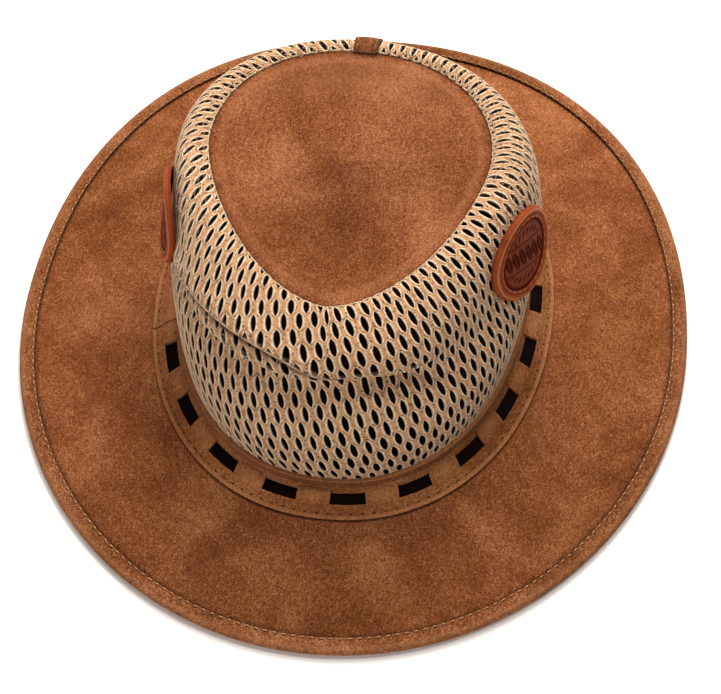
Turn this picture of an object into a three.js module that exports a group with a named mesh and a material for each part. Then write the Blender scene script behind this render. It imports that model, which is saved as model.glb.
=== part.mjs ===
// Leather bush hat: a suede brim with its edge folded over, a slotted suede band with a strap
// laced behind the slots, a knitted cotton crown wall, a dished suede top, a strip over the
// back seam and a leather badge on each side.
// Millimetres, +Z up, front towards -Y, +X on the wearer's left. The brim rests on z = 0 and
// the origin is under the middle of the brim.
import * as THREE from 'three';

// Driving sizes
const BRIM_WIDTH = 340;
const LEATHER = 1.7; // brim suede
const FOLD = 1.2; // one layer of the folded brim edge
const FOLD_WIDTH = 8;
const BAND_THICK = 1.8;
const STRAP_THICK = 1.6;
const KNIT = 2.2; // crown wall
const TOP_THICK = 1.8;
const STRIP_WIDTH = 12;
const STRIP_THICK = 1.3;
const BADGE_RADIUS = 23;
const GAP = 0.35; // clearance between neighbouring pieces

// Brim
const BRIM_TOP = 12.4; // top of the brim where the crown stands on it
const RIM_TOP = FOLD + 0.3 + LEATHER; // top of the brim leather inside its folded edge
const FLANGE = 16.2; // reach of the band out from the crown wall
const FLANGE_TOP = 10.1; // top of the brim under the band's outer edge
const BRIM_LIP = 3; // brim reaching in under the crown wall

// Band slots, measured along the band from its butt joint
const JOINT_ANGLE = 199.6;
const JOINT_GAP = 0.8;
const SLOTS = 19;
const FIRST_SLOT = 20.6;
const SLOT_PITCH = 32.4;
const SLOT_LENGTH = 17;
const SLOT_OUT = 6.25; // middle of the slots, out from the crown wall

// Crown top
const TOP_DROP = 0.7; // top panel's edge below the end of the knit
const DISH_FLOOR = 98.5;
const DISH_TILT = 0.118; // fall of the dish towards the front
const DISH_POWER = 2.5;

// Mesh fineness
const AROUND = 50;
const BADGE_SIDES = 24;

// Turns rows of numbers into objects with the named columns.
function table(columns, rows) {
  return rows.map((row) => Object.fromEntries(columns.map((name, k) => [name, row[k]])));
}

// Level rings, half egg in front and half egg behind: half is the half width, front and back
// reach from the crown's own axis, middle is where the ring is widest, shift moves it sideways,
// frontBow and backBow square it up from 2, an ellipse.
const RIM = {
  half: BRIM_WIDTH / 2, front: 183.1, back: 197.4, shift: 0, middle: 4.5, frontBow: 2, backBow: 2.2,
};
const HEAD = {
  half: 85, front: 103.4, back: 100.4, shift: 0, middle: 11, frontBow: 2.15, backBow: 2.25,
};

// Crown sections from the brim up over the crest and down to the seam of the top panel. A ring
// isn't level: side, fore and aft are its heights at the sides, in front and behind.
const CROWN = table(
  ['side', 'fore', 'aft', 'half', 'shift', 'front', 'back', 'middle', 'frontBow', 'backBow'],
  [
    [BRIM_TOP + GAP, BRIM_TOP + GAP, BRIM_TOP + GAP, 85, 0, 103.4, 100.4, 11, 2.15, 2.25],
    [23, 22, 23, 85, 0, 103.4, 100.4, 11, 2.15, 2.25],
    [36, 33, 36, 86.2, 0.2, 103.8, 100.8, 11, 2.15, 2.25],
    [50, 46, 50, 87.4, 0.4, 100, 100.6, 12, 2.15, 2.25],
    [64, 58, 64, 88.4, 0.6, 92, 100, 13, 2.12, 2.25],
    [75, 69, 76, 88.8, 0.2, 83.5, 99, 14, 2.05, 2.25],
    [85, 77, 88, 88.4, -0.6, 85, 97.6, 15, 2, 2.22],
    [95, 85, 99, 87, -1.3, 82, 95.6, 16, 1.95, 2.22],
    [104, 91, 108, 83.5, -2, 75, 92.6, 18, 1.85, 2.22],
    [110, 95, 113.5, 78, -2.5, 67, 88.6, 20, 1.75, 2.2],
    [111.5, 96.5, 114, 72, -2.9, 61.5, 85.4, 22, 1.68, 2.2],
    [108.5, 95.5, 112, 66, -3.2, 57.5, 82.2, 24, 1.62, 2.2],
  ],
);
const SEAM_LEVEL = CROWN.length - 1;
const CROWN_LEVELS = [0, 1, 2.5, 4, 4.6, 5, 5.4, 6, 7, 8, 9, 9.6, 10.2, 11];

// Dents and folds of the crown wall: where around, over how many degrees to each side, at what
// level, over how many levels to each side, and how deep, where minus is inwards.
const FOLDS = table(
  ['angle', 'span', 'level', 'half', 'depth'],
  [
    [230, 46, 5.05, 0.75, -3.6],
    [230, 46, 6.05, 0.9, 1.6],
    [292, 40, 5, 0.9, -2.2],
    [327, 42, 6.3, 3.4, -7],
    [197, 40, 6.5, 2.8, -4],
  ],
);

// Outer face of the folded brim edge, from its inner edge underneath to its inner edge on top.
const EDGE_TOP = RIM_TOP + 0.3 + FOLD;
const EDGE_PROFILE = table(
  ['inset', 'height'],
  [
    [FOLD_WIDTH, 0],
    [1.6, 0],
    [0.4, 1],
    [0, EDGE_TOP / 2],
    [0.4, EDGE_TOP - 1],
    [1.6, EDGE_TOP],
    [FOLD_WIDTH, EDGE_TOP],
  ],
);

// Outer face of the band, from its edge on the brim in to the crown and up the crown wall. The
// slots lie between the fourth row and the fifth.
const BAND_PROFILE = table(
  ['out', 'height'],
  [
    [FLANGE, 12.2],
    [13.6, 12.75],
    [10.9, 15],
    [9.75, 15.3],
    [2.75, 17.1],
    [GAP + BAND_THICK, 18.6],
    [GAP + BAND_THICK, 22.5],
  ],
);
const SLOT_ROW = 3;

// Outer face of a badge, from its edge to its middle: a raised border round a sunken field.
const BADGE_PROFILE = table(
  ['radius', 'height'],
  [
    [BADGE_RADIUS, 1.4],
    [BADGE_RADIUS - 0.7, 3],
    [BADGE_RADIUS - 4.4, 3],
    [BADGE_RADIUS - 5, 2.3],
    [BADGE_RADIUS / 2, 2.4],
    [0, 2.5],
  ],
);
// Where each badge sits, its middle's angle around the crown and its height, and how it faces,
// towards a compass angle and leaning up, in degrees. Its leather is bent to a radius.
const BADGES = table(
  ['name', 'angle', 'height', 'facing', 'lean', 'bend'],
  [
    ['badge_right', 342, 87.5, 334, 14, 100],
    ['badge_left', 194.4, 84.5, 192, 9, 88],
  ],
);

const radians = THREE.MathUtils.degToRad;

// Distance from the middle of a half egg to its outline.
function reachAt(half, length, bow, angle) {
  const across = (Math.abs(Math.cos(angle)) / half) ** bow;
  const along = (Math.abs(Math.sin(angle)) / length) ** bow;
  return (across + along) ** (-1 / bow);
}

// A point of a ring grown outwards by out, at an angle in radians and at a height.
function ringPoint(ring, angle, height, out = 0) {
  const behind = Math.sin(angle) >= 0;
  const length = behind ? ring.back - ring.middle : ring.front + ring.middle;
  const bow = behind ? ring.backBow : ring.frontBow;
  const reach = reachAt(ring.half + out, length + out, bow, angle);
  const x = ring.shift + reach * Math.cos(angle);
  return new THREE.Vector3(x, ring.middle + reach * Math.sin(angle), height);
}

// All columns of a ring between two others.
function blend(a, b, t) {
  return Object.fromEntries(Object.keys(a).map((name) => [name, a[name] + (b[name] - a[name]) * t]));
}

function grow(ring, out) {
  return { ...ring, half: ring.half + out, front: ring.front + out, back: ring.back + out };
}

// Smooth curve through four values, from the second to the third.
function smooth(a, b, c, d, t) {
  const cubic = (3 * b - a - 3 * c + d) * t;
  return 0.5 * (2 * b + t * (c - a + t * (2 * a - 5 * b + 4 * c - d + cubic)));
}

function crownSection(level) {
  const lower = Math.min(Math.floor(level), SEAM_LEVEL - 1);
  const row = (k) => CROWN[THREE.MathUtils.clamp(lower + k, 0, SEAM_LEVEL)];
  const at = (name) => smooth(row(-1)[name], row(0)[name], row(1)[name], row(2)[name], level - lower);
  return Object.fromEntries(Object.keys(CROWN[0]).map((name) => [name, at(name)]));
}

// 1 in the middle of a fold, 0 from its edges on.
function bell(x) {
  return Math.abs(x) < 1 ? (1 - x * x) ** 2 : 0;
}

// Outer face of the crown wall at a level of the table and an angle in radians.
function crownPoint(level, angle) {
  const section = crownSection(level);
  const sine = Math.sin(angle);
  const end = sine < 0 ? section.fore : section.aft;
  const height = section.side + (end - section.side) * sine * sine;
  const point = ringPoint(section, angle, height);
  const degrees = THREE.MathUtils.euclideanModulo(THREE.MathUtils.radToDeg(angle), 360);
  for (const fold of FOLDS) {
    const push = fold.depth * bell((degrees - fold.angle) / fold.span) * bell((level - fold.level) / fold.half);
    point.x += push * Math.cos(angle);
    point.y += push * Math.sin(angle);
  }
  return point;
}

// Outward normal of the crown wall.
function crownNormal(level, angle) {
  const step = 0.05;
  const low = Math.max(level - step, 0);
  const high = Math.min(level + step, SEAM_LEVEL);
  const up = crownPoint(high, angle).sub(crownPoint(low, angle));
  const around = crownPoint(level, angle + step).sub(crownPoint(level, angle - step));
  return around.cross(up).normalize();
}

// A point off the crown wall's outer face: plus is outside it, minus is in its thickness.
function offCrown(level, angle, distance) {
  return crownPoint(level, angle).addScaledVector(crownNormal(level, angle), distance);
}

// Level of the crown wall at a height, at an angle, below the crest.
function levelAt(height, angle) {
  let low = 0;
  let high = SEAM_LEVEL - 1;
  for (let k = 0; k < 30; k += 1) {
    const level = (low + high) / 2;
    if (crownPoint(level, angle).z < height) low = level;
    else high = level;
  }
  return low;
}

// Equal steps from start to end, both included.
function steps(count, start, end) {
  return Array.from({ length: count + 1 }, (_, k) => start + ((end - start) * k) / count);
}

const FULL_TURN = steps(AROUND, 0, 2 * Math.PI).slice(0, AROUND);

// A wall between a top face and an under face, given as rows of points of the same shape. Rows
// run up or inwards and columns run anticlockwise, as seen from the top face. A closed wall
// joins its last column to its first. Cells where open(row, column) holds are holes.
function wall(top, under, { closed = true, open = () => false } = {}) {
  const rows = top.length - 1;
  const columns = closed ? top[0].length : top[0].length - 1;
  const corners = new Map();
  const positions = [];
  const index = [];

  function corner(point) {
    const key = point.toArray().map((value) => Math.round(value * 1e4)).join();
    if (!corners.has(key)) {
      corners.set(key, positions.length / 3);
      positions.push(point.x, point.y, point.z);
    }
    return corners.get(key);
  }

  function triangle(a, b, c) {
    if (a !== b && b !== c && c !== a) index.push(a, b, c);
  }

  function face(a, b, c, d) {
    const [p, q, r, s] = [a, b, c, d].map(corner);
    triangle(p, q, r);
    triangle(p, r, s);
  }

  function solid(i, j) {
    if (i < 0 || i >= rows) return false;
    if (!closed && (j < 0 || j >= columns)) return false;
    return !open(i, (j + columns) % columns);
  }

  const count = top[0].length;
  for (let i = 0; i < rows; i += 1) {
    for (let j = 0; j < columns; j += 1) {
      if (solid(i, j)) {
        const next = (j + 1) % count;
        const loop = [[i, j], [i, next], [i + 1, next], [i + 1, j]];
        const beyond = [[i - 1, j], [i, j + 1], [i + 1, j], [i, j - 1]];
        const above = loop.map(([r, c]) => top[r][c]);
        const below = loop.map(([r, c]) => under[r][c]);
        face(...above);
        face(...below.toReversed());
        for (let side = 0; side < 4; side += 1) {
          const end = (side + 1) % 4;
          if (!solid(...beyond[side])) face(above[end], above[side], below[side], below[end]);
        }
      }
    }
  }
  const geometry = new THREE.BufferGeometry();
  geometry.setAttribute('position', new THREE.Float32BufferAttribute(positions, 3));
  geometry.setIndex(index);
  geometry.computeVertexNormals();
  return geometry;
}

// The inner line of a bent strip whose outer line is given, both as [across, height] pairs, with
// corners mitred so that the strip keeps its thickness.
function innerLine(line, thickness) {
  const normal = (a, b) => new THREE.Vector2(b[1] - a[1], a[0] - b[0]).normalize();
  return line.map((point, k) => {
    const before = normal(line[Math.max(k - 1, 0)], line[Math.max(k, 1)]);
    const after = normal(line[Math.min(k, line.length - 2)], line[Math.min(k + 1, line.length - 1)]);
    const mitre = before.clone().add(after).normalize();
    const depth = thickness / mitre.dot(after);
    return [point[0] - mitre.x * depth, point[1] - mitre.y * depth];
  });
}

const group = new THREE.Group();
group.position.y = (RIM.front - RIM.back) / 2;

function add(name, geometry, color, roughness) {
  const material = new THREE.MeshStandardMaterial({ color, roughness, metalness: 0 });
  const mesh = new THREE.Mesh(geometry, material);
  mesh.name = name;
  group.add(mesh);
}

// Brim: from inside its folded edge up a gentle cone to the lip under the crown wall.
function brim() {
  const flange = { ...grow(HEAD, FLANGE), height: FLANGE_TOP };
  const foldLine = { ...grow(RIM, -FOLD_WIDTH - 1), height: RIM_TOP };
  const rings = [
    { ...grow(RIM, -FOLD - 1), height: RIM_TOP },
    ...steps(3, 0, 1).map((t) => blend(foldLine, flange, t)),
    { ...HEAD, height: BRIM_TOP },
    { ...grow(HEAD, -BRIM_LIP), height: BRIM_TOP },
  ];
  const face = (drop) => rings.map((ring) => FULL_TURN.map((a) => ringPoint(ring, a, ring.height - drop)));
  return wall(face(0), face(LEATHER));
}

// Brim edge: one strip folded round the edge of the brim leather.
function brimEdge() {
  const outer = EDGE_PROFILE.map(({ inset, height }) => [-inset, height]);
  const face = (line) => line.map(([out, height]) => FULL_TURN.map((a) => ringPoint(RIM, a, height, out)));
  return wall(face(outer), face(innerLine(outer, FOLD)));
}

// Angles of points along the slot line, given by their distance from the band's butt joint.
function bandAngles(distances) {
  const start = radians(JOINT_ANGLE);
  const fine = steps(1440, start, start + 2 * Math.PI);
  let walked = 0;
  const lengths = fine.map((angle, k) => {
    if (k > 0) {
      const from = ringPoint(HEAD, fine[k - 1], 0, SLOT_OUT);
      walked += from.distanceTo(ringPoint(HEAD, angle, 0, SLOT_OUT));
    }
    return walked;
  });
  return distances(walked).map((distance) => {
    const k = lengths.findIndex((length) => length >= distance);
    const t = (distance - lengths[k - 1]) / (lengths[k] - lengths[k - 1]);
    return fine[k - 1] + (fine[k] - fine[k - 1]) * t;
  });
}

// Hat band: a flange on the brim, a raised part with the slots, and a wall up the crown.
function hatBand() {
  const cuts = (length) => {
    const slotEnds = Array.from({ length: SLOTS }, (_, k) => {
      const middle = FIRST_SLOT + k * SLOT_PITCH;
      return [middle - SLOT_LENGTH / 2, middle, middle + SLOT_LENGTH / 2];
    });
    const bridges = slotEnds.slice(1).map((ends, k) => (slotEnds[k][2] + ends[0]) / 2);
    const tail = steps(3, slotEnds.at(-1)[2], length - JOINT_GAP / 2).slice(1);
    return [JOINT_GAP / 2, ...slotEnds.flat(), ...bridges, ...tail].sort((a, b) => a - b);
  };
  const angles = bandAngles(cuts);
  const outer = BAND_PROFILE.map(({ out, height }) => [out, height]);
  const face = (line) => line.map(([out, height]) => angles.map((a) => ringPoint(HEAD, a, height, out)));
  // After the joint, each slot takes two columns and each bridge two.
  const open = (i, j) => i === SLOT_ROW && j > 0 && (j - 1) % 4 < 2 && j < 4 * SLOTS;
  return wall(face(outer), face(innerLine(outer, BAND_THICK)), { closed: false, open });
}

// Strap laced behind the band's slots, lying on the brim.
function bandStrap() {
  const brimTop = (out) => BRIM_TOP + ((FLANGE_TOP - BRIM_TOP) * out) / FLANGE;
  const edges = [9.9, 2.6];
  const face = (rise) => edges.map((out) => (
    FULL_TURN.map((a) => ringPoint(HEAD, a, brimTop(out) + rise, out))
  ));
  return wall(face(GAP + STRAP_THICK), face(GAP));
}

// Crown wall: knitted cotton from the brim up over the crest to the seam of the top panel.
function crownMesh() {
  const face = (off) => CROWN_LEVELS.map((level) => FULL_TURN.map((a) => offCrown(level, a, off)));
  return wall(face(0), face(-KNIT));
}

// Top panel: a dish that falls a little towards the front.
function crownTop() {
  const middle = CROWN[SEAM_LEVEL];
  const plane = (y) => DISH_FLOOR + DISH_TILT * (y - middle.middle);
  const point = (share, angle, drop) => {
    const edge = crownPoint(SEAM_LEVEL, angle);
    const reach = Math.hypot(edge.x - middle.shift, edge.y - middle.middle) - GAP;
    const x = middle.shift + share * reach * Math.cos(angle);
    const y = middle.middle + share * reach * Math.sin(angle);
    const bowl = (edge.z - TOP_DROP - plane(edge.y)) * share ** DISH_POWER;
    return new THREE.Vector3(x, y, plane(y) + bowl - drop);
  };
  const shares = [1, 0.88, 0.72, 0.5, 0.25, 0];
  const face = (drop) => shares.map((share) => FULL_TURN.map((a) => point(share, a, drop)));
  return wall(face(0), face(TOP_THICK));
}

// Strip over the crown's back seam, from above the band to the top panel.
function backStrip() {
  const back = Math.PI / 2;
  const levels = [1.05, 2, 3, 4, 5, 6, 7, 8, 8.5, 9, 9.5, 10, 10.4, 10.8];
  const column = (level, x, off) => {
    const reach = crownPoint(level, back).y - crownSection(level).middle;
    return offCrown(level, back + x / reach, off);
  };
  const places = steps(3, -STRIP_WIDTH / 2, STRIP_WIDTH / 2);
  const face = (off) => levels.map((level) => places.map((x) => column(level, x, off)));
  return wall(face(GAP + STRIP_THICK), face(GAP), { closed: false });
}

// Distance that the crown wall stands out, along a direction, past a point beside it.
function wallPast(point, out, across, up, level, angle) {
  const step = 0.02;
  let [l, a] = [level, angle];
  for (let k = 0; k < 8; k += 1) {
    const here = crownPoint(l, a);
    const away = point.clone().sub(here);
    const byLevel = crownPoint(l + step, a).sub(here).divideScalar(step);
    const byAngle = crownPoint(l, a + step).sub(here).divideScalar(step);
    const [p, q, r, s] = [byLevel.dot(across), byAngle.dot(across), byLevel.dot(up), byAngle.dot(up)];
    const scale = p * s - q * r;
    l += (away.dot(across) * s - away.dot(up) * q) / scale;
    a += (away.dot(up) * p - away.dot(across) * r) / scale;
    l = THREE.MathUtils.clamp(l, 0, SEAM_LEVEL - step);
  }
  return crownPoint(l, a).sub(point).dot(out);
}

// Badge: a stiff disc bent a little round the crown, standing on the wall's highest places.
function badge({ angle, height, facing, lean, bend }) {
  const middle = radians(angle);
  const level = levelAt(height, middle);
  const out = new THREE.Vector3().setFromSphericalCoords(1, radians(90 - lean), radians(facing + 90));
  out.set(out.x, -out.z, out.y);
  const across = new THREE.Vector3(0, 0, 1).cross(out).normalize();
  const up = out.clone().cross(across);
  const turn = steps(BADGE_SIDES, 0, 2 * Math.PI).slice(0, BADGE_SIDES);
  const flat = (radius, at, off) => {
    const aside = radius * Math.cos(at);
    return crownPoint(level, middle)
      .addScaledVector(across, aside)
      .addScaledVector(up, radius * Math.sin(at))
      .addScaledVector(out, off - (aside * aside) / (2 * bend));
  };
  const past = (point) => wallPast(point, out, across, up, level, middle);
  const reaches = BADGE_PROFILE.flatMap(({ radius }) => turn.map((at) => past(flat(radius, at, 0))));
  const seat = Math.max(...reaches) + GAP;
  const face = (rise) => BADGE_PROFILE.map((row) => turn.map((at) => flat(row.radius, at, seat + rise(row))));
  return wall(face((row) => row.height), face(() => 0));
}

add('brim', brim(), 0x93603b, 0.95);
add('brim_edge', brimEdge(), 0x8b5935, 0.95);
add('hat_band', hatBand(), 0x8f5c39, 0.95);
add('band_strap', bandStrap(), 0x1c110c, 0.6);
add('crown_mesh', crownMesh(), 0xd8bd95, 0.9);
add('crown_top', crownTop(), 0x8d5a37, 0.95);
add('back_strip', backStrip(), 0x8a5432, 0.95);
for (const place of BADGES) add(place.name, badge(place), 0x7a3415, 0.5);

export default group;
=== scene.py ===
"""Looks of a bush hat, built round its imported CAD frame.

A suede brim with its edge folded over and sewn down, a slotted suede band with a dark strap laced
behind it, a crown wall of open cotton knit, a dished suede top, a suede strip over the back seam
and a tooled leather badge on each side. Pieces are worked out in millimetres round the crown's own
axis, and are put into the row's frame, in metres, as the last step of their making.
"""

import logging
import math
import random
from collections.abc import Callable, Iterable, Sequence
from dataclasses import dataclass
from enum import Enum
from typing import NamedTuple

import bmesh
import bpy
import numpy as np
from mathutils import Matrix, Vector


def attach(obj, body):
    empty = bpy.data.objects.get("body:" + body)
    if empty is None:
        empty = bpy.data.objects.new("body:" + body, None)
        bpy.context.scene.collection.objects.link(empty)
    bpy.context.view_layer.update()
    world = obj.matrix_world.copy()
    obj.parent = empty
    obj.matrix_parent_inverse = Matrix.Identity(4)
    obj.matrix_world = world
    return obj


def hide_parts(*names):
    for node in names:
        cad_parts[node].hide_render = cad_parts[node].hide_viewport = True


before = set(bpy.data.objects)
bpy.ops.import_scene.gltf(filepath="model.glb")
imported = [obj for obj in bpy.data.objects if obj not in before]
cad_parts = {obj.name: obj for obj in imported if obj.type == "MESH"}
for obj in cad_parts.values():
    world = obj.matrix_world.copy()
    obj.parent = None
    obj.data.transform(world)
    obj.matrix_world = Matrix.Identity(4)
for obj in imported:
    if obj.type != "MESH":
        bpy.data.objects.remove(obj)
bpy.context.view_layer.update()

Array = np.ndarray
BMesh = bmesh.types.BMesh
Material = bpy.types.Material
Piece = bpy.types.Object
Line = list[tuple[float, float]]
Colour = tuple[float, float, float]

METRES = 0.001  # length of a millimetre in the row's frame
FULL_TURN = 2 * math.pi
RING_POINTS = 2881  # where a ring is measured, an eighth of a degree apart
WELD = 1e-4  # vertices nearer than this become one

BRIM_WIDTH = 340.0
CLEARANCE = 0.35  # gap between neighbouring pieces
BRIM_LEATHER = 1.7
FOLD_LEATHER = 1.2
FOLD_GAP = 0.3  # between the brim and its folded edge
FOLD_WIDTH = 8.0
BRIM_TOP = 12.4  # top of the brim where the crown stands on it
RIM_TOP = FOLD_LEATHER + FOLD_GAP + BRIM_LEATHER
EDGE_TOP = RIM_TOP + FOLD_GAP + FOLD_LEATHER
FLANGE = 16.2  # reach of the band out from the crown wall
FLANGE_TOP = 10.1  # top of the brim under the band's outer edge

log = logging.getLogger("bush_hat")


class Slot(Enum):
    """The record's material slots."""

    BRIM = "brim_suede"
    EDGE = "edge_suede"
    BAND = "band_suede"
    STRAP = "dark_leather"
    KNIT = "cotton_knit"
    TOP = "top_suede"
    BADGE = "badge_leather"


# ---- Smooth shapes along a measure ----------------------------------------------------------


def bell(x: Array) -> Array:
    """1 at 0, falling smoothly to 0 at -1 and 1 and beyond."""
    return np.where(np.abs(x) < 1, (1 - x * x) ** 2, 0.0)


def ramp(x: Array) -> Array:
    """0 up to 0, 1 from 1 on, and a smooth rise between."""
    t = np.clip(x, 0, 1)
    return t * t * (3 - 2 * t)


@dataclass(frozen=True)
class Swell:
    """A smooth swelling: where it peaks, how far it reaches to each side, and its height."""

    peak: float
    reach: float
    height: float = 1.0

    def __call__(self, x: Array) -> Array:
        """How high it is at x."""
        return self.height * bell((x - self.peak) / self.reach)


@dataclass(frozen=True)
class Rise:
    """A smooth step: where it starts, how long it is, and its height. Where its length is below
    0, it rises as the measure falls."""

    start: float
    length: float
    height: float = 1.0

    def __call__(self, x: Array) -> Array:
        """How high it is at x."""
        return self.height * ramp((x - self.start) / self.length)


def wave(turns: Array) -> Array:
    """0 at whole turns, 1 halfway between them."""
    return 0.5 - 0.5 * np.cos(FULL_TURN * turns)


def degrees_apart(angle: Array, middle: float) -> Array:
    """Signed distance in degrees from a compass place to an angle in radians."""
    return (np.degrees(angle) - middle + 180) % 360 - 180


# ---- Lines and rings ------------------------------------------------------------------------


def soften(line: Line, rounds: int = 1) -> Line:
    """Cuts the corners off an open line, and keeps its two ends.

    Args:
        line: Points of the line.
        rounds: How many times each corner is cut, a quarter of the way along its sides.

    Returns:
        The smoother line.
    """
    for _ in range(rounds):
        cut = [line[0]]
        for a, b in zip(line, line[1:]):
            for share in (0.25, 0.75):
                cut.append(((1 - share) * a[0] + share * b[0], (1 - share) * a[1] + share * b[1]))
        line = [*cut, line[-1]]
    return line


def under_line(line: Line, thickness: float) -> Line:
    """The other face of a strip of leather whose top face is given.

    Args:
        line: Top face, running inwards.
        thickness: Thickness of the leather.

    Returns:
        A point under each point of the top face.
    """
    points = np.array(line)
    steps = np.diff(points, axis=0)
    steps /= np.linalg.norm(steps, axis=1)[:, None]
    along = np.vstack([steps[:1], steps[1:] + steps[:-1], steps[-1:]])
    along /= np.linalg.norm(along, axis=1)[:, None]
    reach = np.einsum("ij,ij->i", along, np.vstack([steps[:1], steps]))
    away = np.stack([along[:, 1], -along[:, 0]], 1) / reach[:, None]
    return [tuple(p) for p in points - away * thickness]


def walk(points: Array) -> Array:
    """Distance walked along a line of points to each of them."""
    return np.concatenate([[0.0], np.cumsum(np.linalg.norm(np.diff(points, axis=0), axis=1))])


def facing(turn: Array) -> Array:
    """Unit directions in a plane at angles in radians."""
    return np.stack([np.cos(turn), np.sin(turn)], -1)


def quarter_turn(direction: Array) -> Array:
    """Directions in a plane turned a quarter of the way round, to the left."""
    return np.stack([-direction[..., 1], direction[..., 0]], -1)


def left_of(line: Array) -> Array:
    """Unit directions to the left of a flat line at its points."""
    ahead = np.gradient(line, axis=0)
    return quarter_turn(ahead) / np.linalg.norm(ahead, axis=1)[:, None]


def egg_reach(
    angle: Array, half: Array, lengths: Sequence[Array], bows: Sequence[Array], out: Array = 0.0
) -> Array:
    """How far a level ring reaches that is half an egg in front and half an egg behind.

    Args:
        angle: Angles round its middle in radians.
        half: Its half width.
        lengths: How far it goes in front and behind.
        bows: What squares it up in front and behind, from 2, an ellipse.
        out: How far it is grown outwards.

    Returns:
        The distances from its middle.
    """
    behind = np.sin(angle) >= 0
    length = np.where(behind, lengths[1], lengths[0]) + out
    bow = np.where(behind, bows[1], bows[0])
    across = (np.abs(np.cos(angle)) / (half + out)) ** bow
    along = (np.abs(np.sin(angle)) / length) ** bow
    return (across + along) ** (-1 / bow)


@dataclass(frozen=True)
class Ring:
    """A level ring of the hat: its half width, its reach from the crown's axis in front and
    behind, where it is widest, and what squares it up in front and behind."""

    half: float
    front: float
    back: float
    middle: float
    bows: tuple[float, float]

    def point(self, angle: Array, out: Array = 0.0, height: Array = 0.0) -> Array:
        """Points of the ring grown outwards, at angles in radians and at a height.

        Args:
            angle: Angles in radians.
            out: How far the ring is grown.
            height: Height of the points.

        Returns:
            The points.
        """
        lengths = (self.front + self.middle, self.back - self.middle)
        reach = egg_reach(angle, self.half, lengths, self.bows, out)
        level = np.zeros_like(reach) + height
        return np.stack([reach * np.cos(angle), self.middle + reach * np.sin(angle), level], -1)


RIM = Ring(half=BRIM_WIDTH / 2, front=183.1, back=197.4, middle=4.5, bows=(2, 2.2))
HEAD = Ring(half=85, front=103.4, back=100.4, middle=11, bows=(2.15, 2.25))
AXIS = Vector((0, (RIM.front - RIM.back) / 2 * METRES, 0))  # the crown's axis in the row's frame


@dataclass(frozen=True)
class Fold:
    """A dent or fold of the crown wall: where around, over how many degrees to each side, at what
    level, over how many levels to each side, and how deep, where minus is inwards."""

    angle: float
    span: float
    level: float
    half: float
    depth: float

    def push(self, level: Array, angle: Array) -> Array:
        """How far it moves the wall outwards."""
        around = bell(degrees_apart(angle, self.angle) / self.span)
        return self.depth * around * bell((level - self.level) / self.half)


class CrownRow(NamedTuple):
    """A level of the crown wall: its heights at the sides, in front and behind, and its ring."""

    side: float
    fore: float
    aft: float
    half: float
    shift: float
    front: float
    back: float
    middle: float
    front_bow: float
    back_bow: float


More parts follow.
